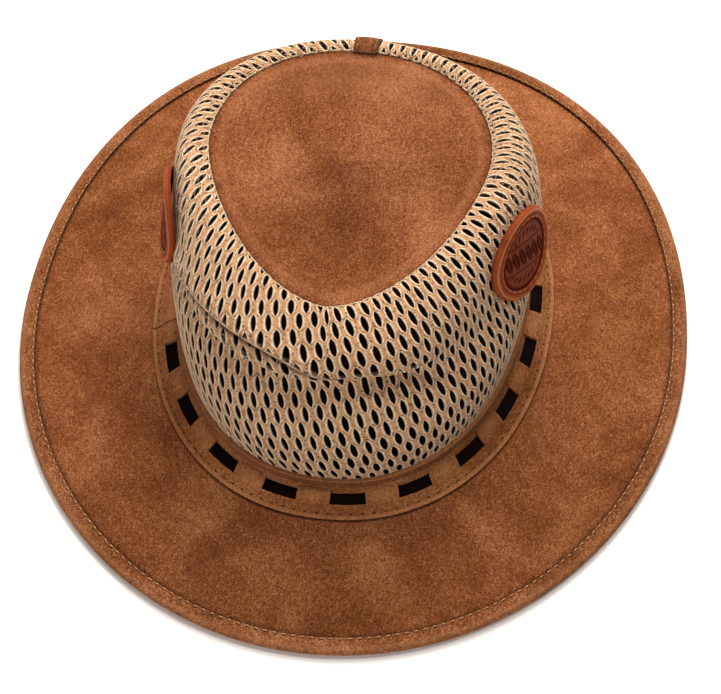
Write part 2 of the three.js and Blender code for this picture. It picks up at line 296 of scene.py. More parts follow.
@dataclass(frozen=True)
class CrownForm:
    """Outer face of the crown wall, from the brim over the crest to the seam of the top."""

    rows: tuple[CrownRow, ...] = (
        CrownRow(12.75, 12.75, 12.75, 85, 0, 103.4, 100.4, 11, 2.15, 2.25),
        CrownRow(23, 22, 23, 85, 0, 103.4, 100.4, 11, 2.15, 2.25),
        CrownRow(36, 33, 36, 86.2, 0.2, 103.8, 100.8, 11, 2.15, 2.25),
        CrownRow(50, 46, 50, 87.4, 0.4, 100, 100.6, 12, 2.15, 2.25),
        CrownRow(64, 58, 64, 88.4, 0.6, 92, 100, 13, 2.12, 2.25),
        CrownRow(75, 69, 76, 88.8, 0.2, 83.5, 99, 14, 2.05, 2.25),
        CrownRow(85, 77, 88, 88.4, -0.6, 85, 97.6, 15, 2, 2.22),
        CrownRow(95, 85, 99, 87, -1.3, 82, 95.6, 16, 1.95, 2.22),
        CrownRow(104, 91, 108, 83.5, -2, 75, 92.6, 18, 1.85, 2.22),
        CrownRow(110, 95, 113.5, 78, -2.5, 67, 88.6, 20, 1.75, 2.2),
        CrownRow(111.5, 96.5, 114, 72, -2.9, 61.5, 85.4, 22, 1.68, 2.2),
        CrownRow(108.5, 95.5, 112, 66, -3.2, 57.5, 82.2, 24, 1.62, 2.2),
    )
    folds: tuple[Fold, ...] = (
        Fold(230, 46, 5.05, 0.75, -3.6),
        Fold(230, 46, 6.05, 0.9, 1.6),
        Fold(292, 40, 5, 0.9, -2.2),
        Fold(327, 42, 6.3, 3.4, -7),
        Fold(197, 40, 6.5, 2.8, -4),
    )
    step: float = 0.002  # the small step that slopes are measured over

    @property
    def seam(self) -> int:
        """Level of the seam of the top panel."""
        return len(self.rows) - 1

    def section(self, level: Array) -> CrownRow:
        """The table's row at levels, on a smooth curve through its rows.

        Args:
            level: The levels.

        Returns:
            A row whose fields hold a number for each level.
        """
        rows = np.array(self.rows)
        lower = np.minimum(np.floor(level), self.seam - 1).astype(int)
        t = (level - lower)[..., None]
        a, b, c, d = (rows[np.clip(lower + k, 0, self.seam)] for k in (-1, 0, 1, 2))
        cubic = (3 * b - a - 3 * c + d) * t
        values = 0.5 * (2 * b + t * (c - a + t * (2 * a - 5 * b + 4 * c - d + cubic)))
        return CrownRow(*np.moveaxis(values, -1, 0))

    def point(self, level: Array, angle: Array) -> Array:
        """Points of the face at levels of the table and angles in radians.

        Args:
            level: The levels.
            angle: The angles.

        Returns:
            A point in millimetres for each.
        """
        level, angle = np.broadcast_arrays(np.asarray(level, float), np.asarray(angle, float))
        row = self.section(level)
        sine, cosine = np.sin(angle), np.cos(angle)
        lengths = (row.front + row.middle, row.back - row.middle)
        reach = egg_reach(angle, row.half, lengths, (row.front_bow, row.back_bow))
        reach = reach + sum(fold.push(level, angle) for fold in self.folds)
        height = row.side + (np.where(sine >= 0, row.aft, row.fore) - row.side) * sine**2
        return np.stack([row.shift + reach * cosine, row.middle + reach * sine, height], -1)

    def slopes(self, level: Array, angle: Array) -> tuple[Array, Array]:
        """How the face moves for each level up and for each radian round.

        Args:
            level: The levels.
            angle: The angles.

        Returns:
            Both directions at each place.
        """
        step = self.step
        low, high = np.maximum(level - step, 0), np.minimum(level + step, self.seam)
        up = (self.point(high, angle) - self.point(low, angle)) / (high - low)[..., None]
        around = (self.point(level, angle + step) - self.point(level, angle - step)) / (2 * step)
        return up, around

    def off(self, level: Array, angle: Array, distance: Array) -> Array:
        """Points off the face: plus is outside it, minus is in its thickness.

        Args:
            level: The levels.
            angle: The angles.
            distance: How far off the face.

        Returns:
            A point for each.
        """
        up, around = self.slopes(level, angle)
        normal = np.cross(around, up)
        normal /= np.linalg.norm(normal, axis=-1)[..., None]
        return self.point(level, angle) + normal * np.asarray(distance)[..., None]


CROWN = CrownForm()


# ---- Mesh helpers ---------------------------------------------------------------------------


def places(bm: BMesh) -> Array:
    """The places of a bmesh's vertices, a row each."""
    return np.array([v.co for v in bm.verts], float).reshape(-1, 3)


def put(bm: BMesh, points: Array) -> None:
    """Moves a bmesh's vertices to places given in their order."""
    for vert, point in zip(bm.verts, points.tolist()):
        vert.co = point


def mark(bm: BMesh, name: str, values: Array) -> None:
    """Gives each vertex of a bmesh a number that a finish can read.

    Args:
        bm: The bmesh.
        name: What the number is called.
        values: The number for each vertex.
    """
    layer = bm.verts.layers.float.get(name) or bm.verts.layers.float.new(name)
    for vert, value in zip(bm.verts, np.asarray(values, float).tolist()):
        vert[layer] = value


def spun(line: Line, steps: int, closed: bool = True) -> BMesh:
    """A line spun once round the axis.

    Args:
        line: Its (distance from the axis, height) points.
        steps: How many sides the round has.
        closed: Whether the line comes back to its first point.

    Returns:
        The surface, with its faces outward.
    """
    bm = bmesh.new()
    verts = [bm.verts.new((out, 0, height)) for out, height in line]
    after = verts[1:] + verts[:1] if closed else verts[1:]
    edges = [bm.edges.new(pair) for pair in zip(verts, after)]
    bmesh.ops.spin(
        bm, geom=verts + edges, cent=(0, 0, 0), axis=(0, 0, 1), dvec=(0, 0, 0), angle=FULL_TURN,
        steps=steps, use_merge=True, use_duplicate=False,
    )
    bmesh.ops.remove_doubles(bm, verts=bm.verts, dist=WELD)
    bmesh.ops.recalc_face_normals(bm, faces=bm.faces)
    return bm


def ribbon(line: Line, steps: int, radius: float = 100.0) -> tuple[BMesh, Array, Array, Array]:
    """A closed outline beside the axis spun round it, to be moved onto a ring of the hat.

    Args:
        line: The outline's (out, height) points.
        steps: How many sides the round has.
        radius: Distance from the axis of a point whose out is 0.

    Returns:
        The bmesh, and the angle, out and height of each of its vertices.
    """
    bm = spun([(radius + out, height) for out, height in line], steps)
    return (bm, *polar(bm, radius))


def polar(bm: BMesh, radius: float = 0.0) -> tuple[Array, Array, Array]:
    """Angle, distance out from a radius, and height of each vertex of a spun bmesh.

    Args:
        bm: The bmesh.
        radius: Where distances start.

    Returns:
        The three measures.
    """
    points = places(bm)
    angle = np.arctan2(points[:, 1], points[:, 0])
    return angle, np.hypot(points[:, 0], points[:, 1]) - radius, points[:, 2]


def only(kind: type, geometry: Iterable) -> list:
    """The elements of one kind out of what a bmesh operator made."""
    return [g for g in geometry if isinstance(g, kind)]


def stamp(bm: BMesh, shape: bpy.types.Mesh, place: Matrix) -> None:
    """Adds a copy of a small shape to a bmesh, at a place.

    Args:
        bm: The bmesh.
        shape: The shape.
        place: Where it goes.
    """
    copy = shape.copy()
    copy.transform(place)
    bm.from_mesh(copy)
    bpy.data.meshes.remove(copy)


def upright(point: Sequence[float], along: Sequence[float], up: Sequence[float]) -> Matrix:
    """A place whose X runs along a line and whose Z stands up from a surface.

    Args:
        point: Where it is.
        along: The line's direction.
        up: The surface's outward direction.

    Returns:
        The place.
    """
    x = Vector(along).normalized()
    y = Vector(up).cross(x).normalized()
    turn = Matrix((x, y, x.cross(y))).transposed()
    return Matrix.Translation(Vector(point)) @ turn.to_4x4()


# ---- Shader helpers -------------------------------------------------------------------------


@dataclass
class Value:
    """A socket that Python expressions can use: + - and * add their Math nodes."""

    bench: "Bench"
    socket: bpy.types.NodeSocket

    def math(self, operation: str, first: "Value | float", second: "Value | float") -> "Value":
        """Two values put through a Math node."""
        return self.bench.node("ShaderNodeMath", {"operation": operation}, {0: first, 1: second})

    def __add__(self, other: "Value | float") -> "Value":
        """This plus another."""
        return self.math("ADD", self, other)

    def __radd__(self, other: float) -> "Value":
        """Another plus this."""
        return self.math("ADD", other, self)

    def __sub__(self, other: "Value | float") -> "Value":
        """This less another."""
        return self.math("SUBTRACT", self, other)

    def __rsub__(self, other: float) -> "Value":
        """Another less this."""
        return self.math("SUBTRACT", other, self)

    def __mul__(self, other: "Value | float") -> "Value":
        """This times another."""
        return self.math("MULTIPLY", self, other)

    def between(self, low: float, high: float) -> "Value":
        """0 below low, 1 above high, and a smooth rise between."""
        settings = {"interpolation_type": "SMOOTHSTEP", "clamp": True}
        return self.bench.node("ShaderNodeMapRange", settings, {"Value": self, 1: low, 2: high})


class Bench:
    """Where one finish's nodes are laid out."""

    def __init__(self, name: str) -> None:
        """Makes an empty finish with its shader and output.

        Args:
            name: The finish's name.
        """
        self.material = bpy.data.materials.new(name)
        self.material.use_nodes = True
        self.tree = self.material.node_tree
        self.shader = self.tree.nodes["Principled BSDF"]

    def node(
        self, kind: str, settings: dict | None = None, inputs: dict | None = None,
        output: int | str = 0,
    ) -> Value:
        """Adds a node.

        Args:
            kind: The node's type.
            settings: Its properties, set first.
            inputs: What its sockets get, by name or number: a value or another node's output.
            output: Which of its outputs is used.

        Returns:
            That output.
        """
        node = self.tree.nodes.new(kind)
        for name, value in (settings or {}).items():
            setattr(node, name, value)
        for key, value in (inputs or {}).items():
            self.feed(node.inputs[key], value)
        return Value(self, node.outputs[output])

    def shades(self, tone: Value, stops: Sequence[tuple[float, str]]) -> Value:
        """A tone turned into colours by a ramp's (place, hex code) stops.

        Args:
            tone: The tone.
            stops: The ramp's stops.

        Returns:
            The colour.
        """
        colour = self.node("ShaderNodeValToRGB", {}, {"Fac": tone})
        elements = colour.socket.node.color_ramp.elements
        while len(elements) < len(stops):
            elements.new(1.0)
        for element, (place, code) in zip(elements, stops):
            element.position = place
            element.color = (*srgb(code), 1)
        return colour

    def feed(self, socket: bpy.types.NodeSocket, value: "Value | float | Sequence[float]") -> None:
        """Links a socket to another node's output, or sets its value.

        Args:
            socket: The socket.
            value: A node's output, or the value itself.
        """
        if isinstance(value, Value):
            self.tree.links.new(value.socket, socket)
        elif isinstance(value, (int, float)):
            socket.default_value = value
        else:
            socket.default_value = (*value, 1)[: len(socket.default_value)]

    def mix(self, factor: Value, base: "Value | str", code: str, blend: str = "MIX") -> Value:
        """A colour, given by its hex code, mixed into another by a factor.

        Args:
            factor: How much is mixed in.
            base: The other colour, or its hex code.
            code: Hex code of the colour mixed in.
            blend: How it is blended.

        Returns:
            The colour.
        """
        base = srgb(base) if isinstance(base, str) else base
        settings = {"data_type": "RGBA", "blend_type": blend}
        return self.node("ShaderNodeMix", settings, {0: factor, 6: base, 7: srgb(code)}, 2)

    def noise(
        self, where: Value, scale: float, detail: float = 2.0, rough: float = 0.5, twist: float = 0.0
    ) -> Value:
        """Cloudy noise from 0 to 1."""
        inputs = {"Scale": scale, "Detail": detail, "Roughness": rough, "Distortion": twist}
        return self.node("ShaderNodeTexNoise", {}, {"Vector": where, **inputs})

    def cells(self, where: Value, scale: float, kind: str = "SMOOTH_F1", spread: float = 1.0) -> Value:
        """Distance from the middles of scattered cells."""
        inputs = {"Vector": where, "Scale": scale, "Randomness": spread}
        return self.node("ShaderNodeTexVoronoi", {"feature": kind}, inputs)

    def bands(self, where: Value, scale: float, twist: float, fine: float = 1.0) -> Value:
        """Slanting bands, twisted by noise.

        Args:
            where: Coordinates.
            scale: How close the bands are.
            twist: How strongly noise bends them.
            fine: How fine that noise is.

        Returns:
            Values from 0 to 1.
        """
        settings = {"wave_type": "BANDS", "bands_direction": "DIAGONAL"}
        inputs = {"Vector": where, "Scale": scale, "Distortion": twist, "Detail Scale": fine}
        return self.node("ShaderNodeTexWave", settings, inputs)

    def mapped(
        self, where: Value, shift: Sequence[float] = (0, 0, 0), scale: Sequence[float] = (1, 1, 1),
        turn: Sequence[float] = (0, 0, 0),
    ) -> Value:
        """Coordinates shifted, stretched and turned."""
        inputs = {"Vector": where, "Location": shift, "Scale": scale, "Rotation": turn}
        return self.node("ShaderNodeMapping", {}, inputs)

    def place(self) -> Value:
        """Place on the object, in metres."""
        return self.node("ShaderNodeTexCoord", output="Object")

    def number(self, name: str) -> Value:
        """A number that each vertex was marked with."""
        return self.node("ShaderNodeAttribute", {"attribute_name": name}, output="Fac")

    def bump(
        self, height: Value, distance: float, strength: float = 1.0, under: Value | None = None
    ) -> Value:
        """Surface relief of a distance in metres, over another relief.

        Args:
            height: The relief.
            distance: What a height of 1 stands for.
            strength: How strong it shows.
            under: The relief under it.

        Returns:
            The normal.
        """
        inputs = {"Height": height, "Distance": distance, "Strength": strength}
        if under:
            inputs["Normal"] = under
        return self.node("ShaderNodeBump", {}, inputs)

    def dress(self, **sockets: object) -> Material:
        """Feeds the shader's sockets, named with _ for a space, and returns the finish.

        Args:
            sockets: What each socket gets.

        Returns:
            The finish.
        """
        for name, value in sockets.items():
            self.feed(self.shader.inputs[name.replace("_", " ")], value)
        return self.material


def srgb(code: str) -> Colour:
    """A colour's linear parts, from its usual hex code."""
    parts = (int(code[k : k + 2], 16) / 255 for k in (0, 2, 4))
    return tuple(p / 12.92 if p <= 0.04045 else ((p + 0.055) / 1.055) ** 2.4 for p in parts)


# ---- Finishes -------------------------------------------------------------------------------


@dataclass(frozen=True)
class SuedeFinish:
    """Brushed suede: brushed patches and fine nap, darkened by painted shade and lightened by scuffs and
    painted highlights where each piece marks them.
    """

    name: str
    dark: str = "55290f"
    middle: str = "7b4322"
    light: str = "aa704a"
    drift: str = "6f7a35"  # the olive tone of its browner patches
    # colour that the painted shade darkens the suede towards
    soil_and_shade: str = "1c0a04"
    sheen: str = "d9a070"
    patch: float = 21.0  # patches to a metre
    nap: float = 700.0  # tufts to a metre
    turn: float = 0.5  # which way the nap is brushed
    seed: float = 0.0

    def make(self) -> Material:
        """Builds the finish.

        Returns:
            The finish.
        """
        bench = Bench(self.name)
        where = bench.mapped(bench.place(), (self.seed, -self.seed, 0))
        patches = bench.noise(where, self.patch, 3.0, 0.52, 0.9)
        swirls = bench.noise(where, self.patch * 3.2, 3.0, 0.6, 0.6)
        brushed = bench.mapped(where, scale=(1, 0.6, 1), turn=(0, 0, self.turn))
        nap = bench.noise(brushed, self.nap, 2.0, 0.6)
        grain = bench.noise(where, self.nap * 2.0, 1.0, 0.5)
        tone = 0.5
        for cloud, weight in ((patches, 0.6), (swirls, 0.36), (nap, 0.55), (grain, 1.1)):
            tone = tone + (cloud - 0.5) * weight
        colour = bench.shades(tone, ((0.18, self.dark), (0.5, self.middle), (0.84, self.light)))
        drift = bench.noise(where, self.patch * 0.55, 2.0, 0.5, 0.5)
        colour = bench.mix(drift.between(0.42, 0.68) * 0.4, colour, self.drift, "SOFT_LIGHT")
        # lighter for scuffs, and for painted highlights where a piece marks them
        colour = bench.mix(bench.number("wear") * (nap * 0.8 + 0.5), colour, self.light)
        # painted shade, where each piece marks it
        colour = bench.mix(bench.number("shade") * 0.86, colour, self.soil_and_shade)
        relief = bench.bump(swirls + patches * 1.6, 0.0016, 0.35)
        relief = bench.bump(nap + grain * 0.8, 0.0004, 0.5, relief)
        return bench.dress(
            Base_Color=colour, Roughness=0.86 + (nap - 0.5) * 0.2, Normal=relief,
            Sheen_Weight=0.16, Sheen_Roughness=0.45, Sheen_Tint=srgb(self.sheen),
            Specular_IOR_Level=0.1,
        )


@dataclass(frozen=True)
class KnitFinish:
    """Cream cotton yarn, paler on the ridges round its holes, partly as a painted highlight, dotted along
    its grooves, and darkened by painted shade where the cloth marks it.
    """

    name: str
    yarn: str = "dba87a"
    # crest colour of the ribs: partly the yarn's own, partly a painted highlight
    pale: str = "ffebca"
    groove: str = "7c4a26"
    fleck: str = "90602f"
    rosy: str = "d39c76"
    dot: str = "402410"
    # colour of the painted shade in the holes, under the cloth and along the fold
    hollow: str = "341408"
    dots: float = 1.6  # spacing of the stitch dots along a rib, in millimetres

    def make(self) -> Material:
        """Builds the finish.

        Returns:
            The finish.
        """
        bench = Bench(self.name)
        cloth = bench.node("ShaderNodeUVMap", {"uv_map": "UVMap"})
        place = bench.place()
        rib = bench.number("rib")
        fuzz = bench.noise(place, 1900.0, 2.0, 0.6)
        flecks = bench.noise(place, 430.0, 3.0, 0.6).between(0.48, 0.62)
        patches = bench.noise(place, 38.0).between(0.45, 0.8)
        strands = bench.bands(cloth, 520.0, 6.0, 2.0)
        pits = bench.cells(cloth, 1 / (self.dots * METRES), "F1", 0.8)
        dot = (1 - pits.between(0.14, 0.3)) * (1 - rib.between(0.5, 0.9))
        ridge = rib.between(0.28, 0.86)
        colour = bench.mix(ridge, self.yarn, self.pale)
        colour = bench.mix(flecks * (0.6 - ridge * 0.3), colour, self.fleck)
        colour = bench.mix(patches * 0.25, colour, self.rosy)
        colour = bench.mix(strands * (0.42 - ridge * 0.34), colour, self.groove)
        colour = bench.mix(dot * 0.95, colour, self.dot)
        # painted shade in the holes, under the cloth and along the fold
        colour = bench.mix(bench.number("shade") * 0.92, colour, self.hollow)
        relief = bench.bump(strands * 0.7 + fuzz * 0.4 - dot * 1.6, 0.0004, 0.9)
        return bench.dress(
            Base_Color=colour, Roughness=0.9 - fuzz * 0.1, Normal=relief, Sheen_Weight=0.15,
            Sheen_Roughness=0.5, Specular_IOR_Level=0.2,
        )


@dataclass(frozen=True)
class BridleFinish:
    """Dark smooth strap leather with fine creases and a painted highlight, broken up by the creases, where
    the piece marks it.
    """

    name: str
    body: str = "0c0403"
    painted_highlight: str = "2c120a"

    def make(self) -> Material:
        """Builds the finish.

        Returns:
            The finish.
        """
        bench = Bench(self.name)
        place = bench.place()
        pores = bench.cells(place, 900.0)
        creases = bench.noise(place, 260.0, 4.0, 0.65)
        # painted highlight, broken up by the creases
        highlight_mask = bench.number("wear") * creases.between(0.4, 0.7)
        colour = bench.mix(highlight_mask * 0.6, self.body, self.painted_highlight)
        relief = bench.bump(pores * 0.6 + creases, 0.0003, 0.5)
        rough = 0.66 + creases * 0.25
        return bench.dress(Base_Color=colour, Roughness=rough, Normal=relief, Specular_IOR_Level=0.05)


@dataclass(frozen=True)
class BadgeFinish:
    """Tooled leather: an orange border, dark burnished hollows and painted highlights on its ridges."""

    name: str
    border: str = "924420"
    field: str = "681a04"
    blotch: str = "4a1a0b"
    hollow: str = "3a0700"
    painted_highlight: str = "e39a66"

    def make(self) -> Material:
        """Builds the finish.

        Returns:
            The finish.
        """
        bench = Bench(self.name)
        place = bench.place()
        shade = bench.number("shade")
        blotch = bench.noise(place, 170.0, 4.0, 0.6, 0.8)
        pores = bench.cells(place, 1500.0)
        fine = bench.noise(place, 1200.0, 3.0, 0.6)
        colour = bench.mix(bench.number("border"), self.field, self.border)
        colour = bench.mix(blotch.between(0.45, 0.72) * 0.5, colour, self.blotch)
        colour = bench.mix(shade * 0.95, colour, self.hollow)
        # painted highlights on the border and dashed ridge, and a slightly paler untooled ground
        colour = bench.mix(bench.number("wear") * (fine * 0.8 + 0.3), colour, self.painted_highlight)
        relief = bench.bump(pores * 0.5 + fine * 0.6, 0.00025, 0.6)
        rough = 0.5 + blotch * 0.25 + shade * 0.2
        return bench.dress(Base_Color=colour, Roughness=rough, Normal=relief, Specular_IOR_Level=0.06)


@dataclass(frozen=True)
class ThreadFinish:
    """Twisted sewing thread."""

    name: str
    thread: str
    deep: str

    def make(self) -> Material:
        """Builds the finish.

        Returns:
            The finish.
        """
        bench = Bench(self.name)
        place = bench.place()
        twist = bench.bands(place, 520.0, 2.0)
        # random soiling of the thread; no shade is painted here
        soil_and_shade = bench.noise(place, 90.0)
        colour = bench.mix(twist * 0.55 + soil_and_shade * 0.3, self.thread, self.deep)
        relief = bench.bump(twist, 0.0002, 0.6)
        rough = 0.72 + soil_and_shade * 0.15
        return bench.dress(Base_Color=colour, Roughness=rough, Normal=relief, Specular_IOR_Level=0.15)


@dataclass(frozen=True)
class PlainFinish:
    """A matt surface of the studio with faint clouds of a second tone."""

    name: str
    main: str
    clouds: str
    scale: float  # clouds to a metre
    share: float  # how much of the second tone shows
    rough: float
    shine: float

    def make(self) -> Material:
        """Builds the finish.

        Returns:
            The finish.
        """
        bench = Bench(self.name)
        haze = bench.noise(bench.place(), self.scale)
        colour = bench.mix(haze * self.share, self.main, self.clouds)
        rough = self.rough - haze * 0.05
        return bench.dress(Base_Color=colour, Roughness=rough, Specular_IOR_Level=self.shine)


# ---- Making pieces --------------------------------------------------------------------------


def put_in_scene(bm: BMesh, name: str, finish: Material) -> Piece:
    """Turns a bmesh into an object of the scene, in its finish, and frees it.

    Args:
        bm: The bmesh.
        name: The object's name.
        finish: Its material.

    Returns:
        The object.
    """
    mesh = bpy.data.meshes.new(name)
    bm.to_mesh(mesh)
    bm.free()
    mesh.materials.append(finish)
    piece = bpy.data.objects.new(name, mesh)
    bpy.context.scene.collection.objects.link(piece)
    return piece


def finish_piece(
    bm: BMesh, name: str, finish: Material, slot: Slot, nodes: Iterable[str] = (), crisp: float = 50.0
) -> Piece:
    """Puts a piece into the row's frame, dresses it and lets it ride on the hat.

    Args:
        bm: The piece in millimetres round the crown's axis; it is freed.
        name: The piece's name.
        finish: Its material.
        slot: The record's material slot; not used.
        nodes: The CAD nodes that it stands for.
        crisp: Angle in degrees past which an edge stays sharp.

    Returns:
        The piece.
    """
    bmesh.ops.transform(bm, matrix=Matrix.Translation(AXIS) @ Matrix.Scale(METRES, 4), verts=bm.verts)
    piece = put_in_scene(bm, name, finish)
    mesh = piece.data
    mesh.shade_smooth()
    mesh.set_sharp_from_angle(angle=math.radians(crisp))
    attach(piece, "root")
    if nodes:
        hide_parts(*nodes)
    mesh.calc_loop_triangles()
    log.info("%s: %d triangles", name, len(mesh.loop_triangles))
    return piece


@dataclass(frozen=True)
class Stitching:
    """A row of sewing stitches, each a short bead of thread that dips into the leather."""

    length: float
    width: float
    proud: float
    dip: float = 1.9  # how far its ends go down, as a share of how proud its middle stands

    def bead(self) -> bpy.types.Mesh:
        """One stitch, lying along X.

        Returns:
            Its mesh.
        """
        bm = bmesh.new()
        bmesh.ops.create_uvsphere(bm, u_segments=6, v_segments=5, radius=0.5)
        turn = Matrix.Rotation(math.pi / 2, 3, "Y")
        bmesh.ops.rotate(bm, cent=(0, 0, 0), matrix=turn, verts=bm.verts)
        bmesh.ops.scale(bm, vec=(self.length, self.width, self.width), verts=bm.verts)
        for vert in bm.verts:
            share = 2 * vert.co.x / self.length
            vert.co.z += self.proud * (1 - self.dip * share * share)
        bead = bpy.data.meshes.new("stitch_bead")
        bm.to_mesh(bead)
        bm.free()
        return bead

    def sew(self, seats: Iterable[Matrix]) -> BMesh:
        """The joined row of stitches on its seats.

        Args:
            seats: A place for each stitch.

        Returns:
            All of them in one bmesh.
        """
        bm = bmesh.new()
        bead = self.bead()
        for seat in seats:
            stamp(bm, bead, seat)
        bpy.data.meshes.remove(bead)
        return bm


def seats_round(
    at: Callable[[Array], Array], up: Callable[[Array], Array], spacing: float,
    start: float = 0.0, end: float = FULL_TURN, sway: float = 0.0, seed: int = 0,
) -> list[Matrix]:
    """Seats for stitches at even distances along a ring.

    Args:
        at: Points of the ring at angles.
        up: The leather's outward direction at angles.
        spacing: Distance from one stitch to the next.
        start: Angle where the row starts.
        end: Angle where it ends.
        sway: How many degrees a stitch may lie askew.
        seed: Seed of that.

    Returns:
        A place for each stitch, with X along the row.
    """
    fine = np.linspace(start, end, RING_POINTS)
    walked = walk(at(fine))
    count = round(walked[-1] / spacing)
    angles = np.interp((np.arange(count) + 0.5) * walked[-1] / count, walked, fine)
    points, ahead = at(angles), at(angles + 1e-3)
    chance = random.Random(seed)
    seats = []
    for point, along, normal in zip(points, ahead - points, up(angles)):
        askew = Matrix.Rotation(math.radians(chance.uniform(-sway, sway)), 4, "Z")
        seats.append(upright(point, along, normal) @ askew)
    return seats


# ---- Brim -----------------------------------------------------------------------------------


@dataclass
class Brim:
    """The brim leather, its folded edge and the sewing that holds the fold down."""

    cone: float = 60.0  # nominal width of the sloping part
    lip: float = 3.0  # reach in under the crown wall
    inset: float = 9.0  # where the slope ends, in from the brim's edge
    around: int = 360
    edge_around: int = 1080
    stitch_inset: float = 7.1
    stitch_spacing: float = 4.3
    stitch: Stitching = Stitching(length=2.5, width=0.85, proud=0.3)
    sunk: float = 0.22  # how deep the stitches sit in the fold
    # ripples: times round, start in radians, slant across the brim, height
    ripples: tuple[tuple[float, ...], ...] = ((3, 0.6, 0, 0.7), (5, 2.1, 0, 0.49), (8, 0, 3, 0.35))
    finish: SuedeFinish = SuedeFinish("brim_suede_nap")
    fold_finish: SuedeFinish = SuedeFinish(
        "brim_fold_nap", dark="552a12", middle="7c4828", light="a87350", nap=560.0, seed=0.21
    )
    thread: ThreadFinish = ThreadFinish("tan_thread", "cf9a6c", "8f5a33")

    # painted shade on the brim: beside the band's outer edge, under the folded edge, and darker towards
    # the front
    BESIDE_BAND = Rise(FLANGE + 0.9, -1.2, 0.8)  # how dark it gets
    BESIDE_FOLD = Rise(-0.6, 1.5, 0.55)
    FRONT_SHADE = 0.2
    DIMPLE = Swell(-stitch_inset, 1.5)  # where the stitches pull the fold in
    SLACK = Swell(-3, 5, 0.14)  # where the fold's top is uneven
    # painted shade along the folded edge's inner cut edge
    FOLD_EDGE_SHADE = Rise(0.35 - FOLD_WIDTH, -0.3, 0.8)
    FOLD_WEAR = Swell(-1.6, 2.2, 0.3)

    @property
    def slope_end(self) -> float:
        """Nominal distance from the crown wall to the end of the slope."""
        return FLANGE + self.cone

    def place(self, reach: Array, angle: Array, height: Array) -> Array:
        """Puts points of the spun brim onto the hat's own rings.

        Args:
            reach: Distances out from the crown wall.
            angle: Angles round the axis.
            height: Heights.

        Returns:
            The points.
        """
        share = np.clip((reach - FLANGE) / self.cone, 0, 1)[:, None]
        near = HEAD.point(angle, np.minimum(reach, FLANGE), height)
        far = RIM.point(angle, -self.inset + np.maximum(reach - self.slope_end, 0), height)
        return near + (far - near) * share

    def ripple(self, reach: Array, angle: Array) -> Array:
        """Gentle rise and fall of the brim between the band and the folded edge.

        Args:
            reach: Distances out from the crown wall.
            angle: Angles round the axis.

        Returns:
            How much higher it is.
        """
        share = (reach - FLANGE) / self.cone
        waves = sum(
            high * np.sin(times * angle + start + slant * share)
            for times, start, slant, high in self.ripples
        )
        return waves * bell((share - 0.5) / 0.5)

    def section(self) -> Line:
        """Top of the brim, from inside its folded edge to the lip under the crown wall.

        Returns:
            Its (reach, height) points.
        """
        end = self.slope_end
        slope = [
            (FLANGE + self.cone * t, FLANGE_TOP + (RIM_TOP - FLANGE_TOP) * t)
            for t in (0.9, 0.75, 0.6, 0.45, 0.3, 0.15)
        ]
        rim = [(end + self.inset - FOLD_LEATHER - 1, RIM_TOP), (end + 2, RIM_TOP), (end, RIM_TOP)]
        foot = [(FLANGE, FLANGE_TOP), (FLANGE / 2, (FLANGE_TOP + BRIM_TOP) / 2)]
        return soften([*rim, *slope, *foot, (0, BRIM_TOP), (-self.lip, BRIM_TOP)], 2)

    def leather(self) -> Piece:
        """The brim itself.

        Returns:
            The piece.
        """
        top = self.section()
        under = [(out, height - BRIM_LEATHER) for out, height in top]
        bm, angle, reach, height = ribbon(top + under[::-1], self.around)
        front = self.FRONT_SHADE * (0.5 - 0.5 * np.sin(angle)) ** 2
        # painted shade beside the band, under the folded edge and towards the front
        mark(bm, "shade", self.BESIDE_BAND(reach) + self.BESIDE_FOLD(reach - self.slope_end) + front)
        mark(bm, "wear", np.zeros(len(reach)))
        put(bm, self.place(reach, angle, height + self.ripple(reach, angle)))
        return finish_piece(bm, "suede_brim", self.finish.make(), Slot.BRIM, ["brim"])

    def fold_face(self) -> Line:
        """Outer face of the folded edge, from underneath round the brim's edge to the top.

        Returns:
            Its (out, height) points.
        """
        corner = [(1.6, 0), (0.4, 1), (0, EDGE_TOP / 2), (0.4, EDGE_TOP - 1), (1.6, EDGE_TOP)]
        flats = [FOLD_WIDTH - short for short in (0, 0.6, 1.4, 2.4, 4.4)]
        face = [(f, 0.0) for f in flats] + corner + [(f, EDGE_TOP) for f in reversed(flats)]
        return soften([(-inset, height) for inset, height in face], 1)

    def fold(self) -> Piece:
        """The folded edge, dimpled by its sewing.

        Returns:
            The piece.
        """
        outer = self.fold_face()
        outline = outer + under_line(outer, FOLD_LEATHER)[::-1]
        bm, angle, out, height = ribbon(outline, self.edge_around, BRIM_WIDTH / 2)
        fine = np.linspace(0, FULL_TURN, RING_POINTS)
        walked = walk(RIM.point(fine, -self.stitch_inset))
        count = round(walked[-1] / self.stitch_spacing)
        along = wave(np.interp(angle % FULL_TURN, fine, walked) / walked[-1] * count)
        on_top = height > EDGE_TOP / 2
        sewn = self.DIMPLE(out) * on_top
        dimple = along * 0.35 + 0.25
        height = height - dimple * sewn + self.SLACK(out) * np.sin(9 * angle) * on_top
        # painted shade in the dimples the stitches pull in and along the fold's cut edge
        mark(bm, "shade", 0.8 * sewn * along + self.FOLD_EDGE_SHADE(out))
        mark(bm, "wear", self.FOLD_WEAR(out))
        put(bm, RIM.point(angle, out, height))
        return finish_piece(bm, "folded_edge", self.fold_finish.make(), Slot.EDGE, ["brim_edge"])

    def sewing(self) -> Piece:
        """Stitches along the fold's inner edge.

        Returns:
            The piece.
        """
        seats = seats_round(
            lambda a: RIM.point(a, -self.stitch_inset, EDGE_TOP - self.sunk),
            lambda a: np.tile((0, 0, 1), (len(a), 1)), self.stitch_spacing, sway=9, seed=4,
        )
        return finish_piece(self.stitch.sew(seats), "edge_stitches", self.thread.make(), Slot.EDGE)

    def build(self) -> None:
        """Makes the brim's pieces."""
        self.leather()
        self.fold()
        self.sewing()


# ---- Band -----------------------------------------------------------------------------------


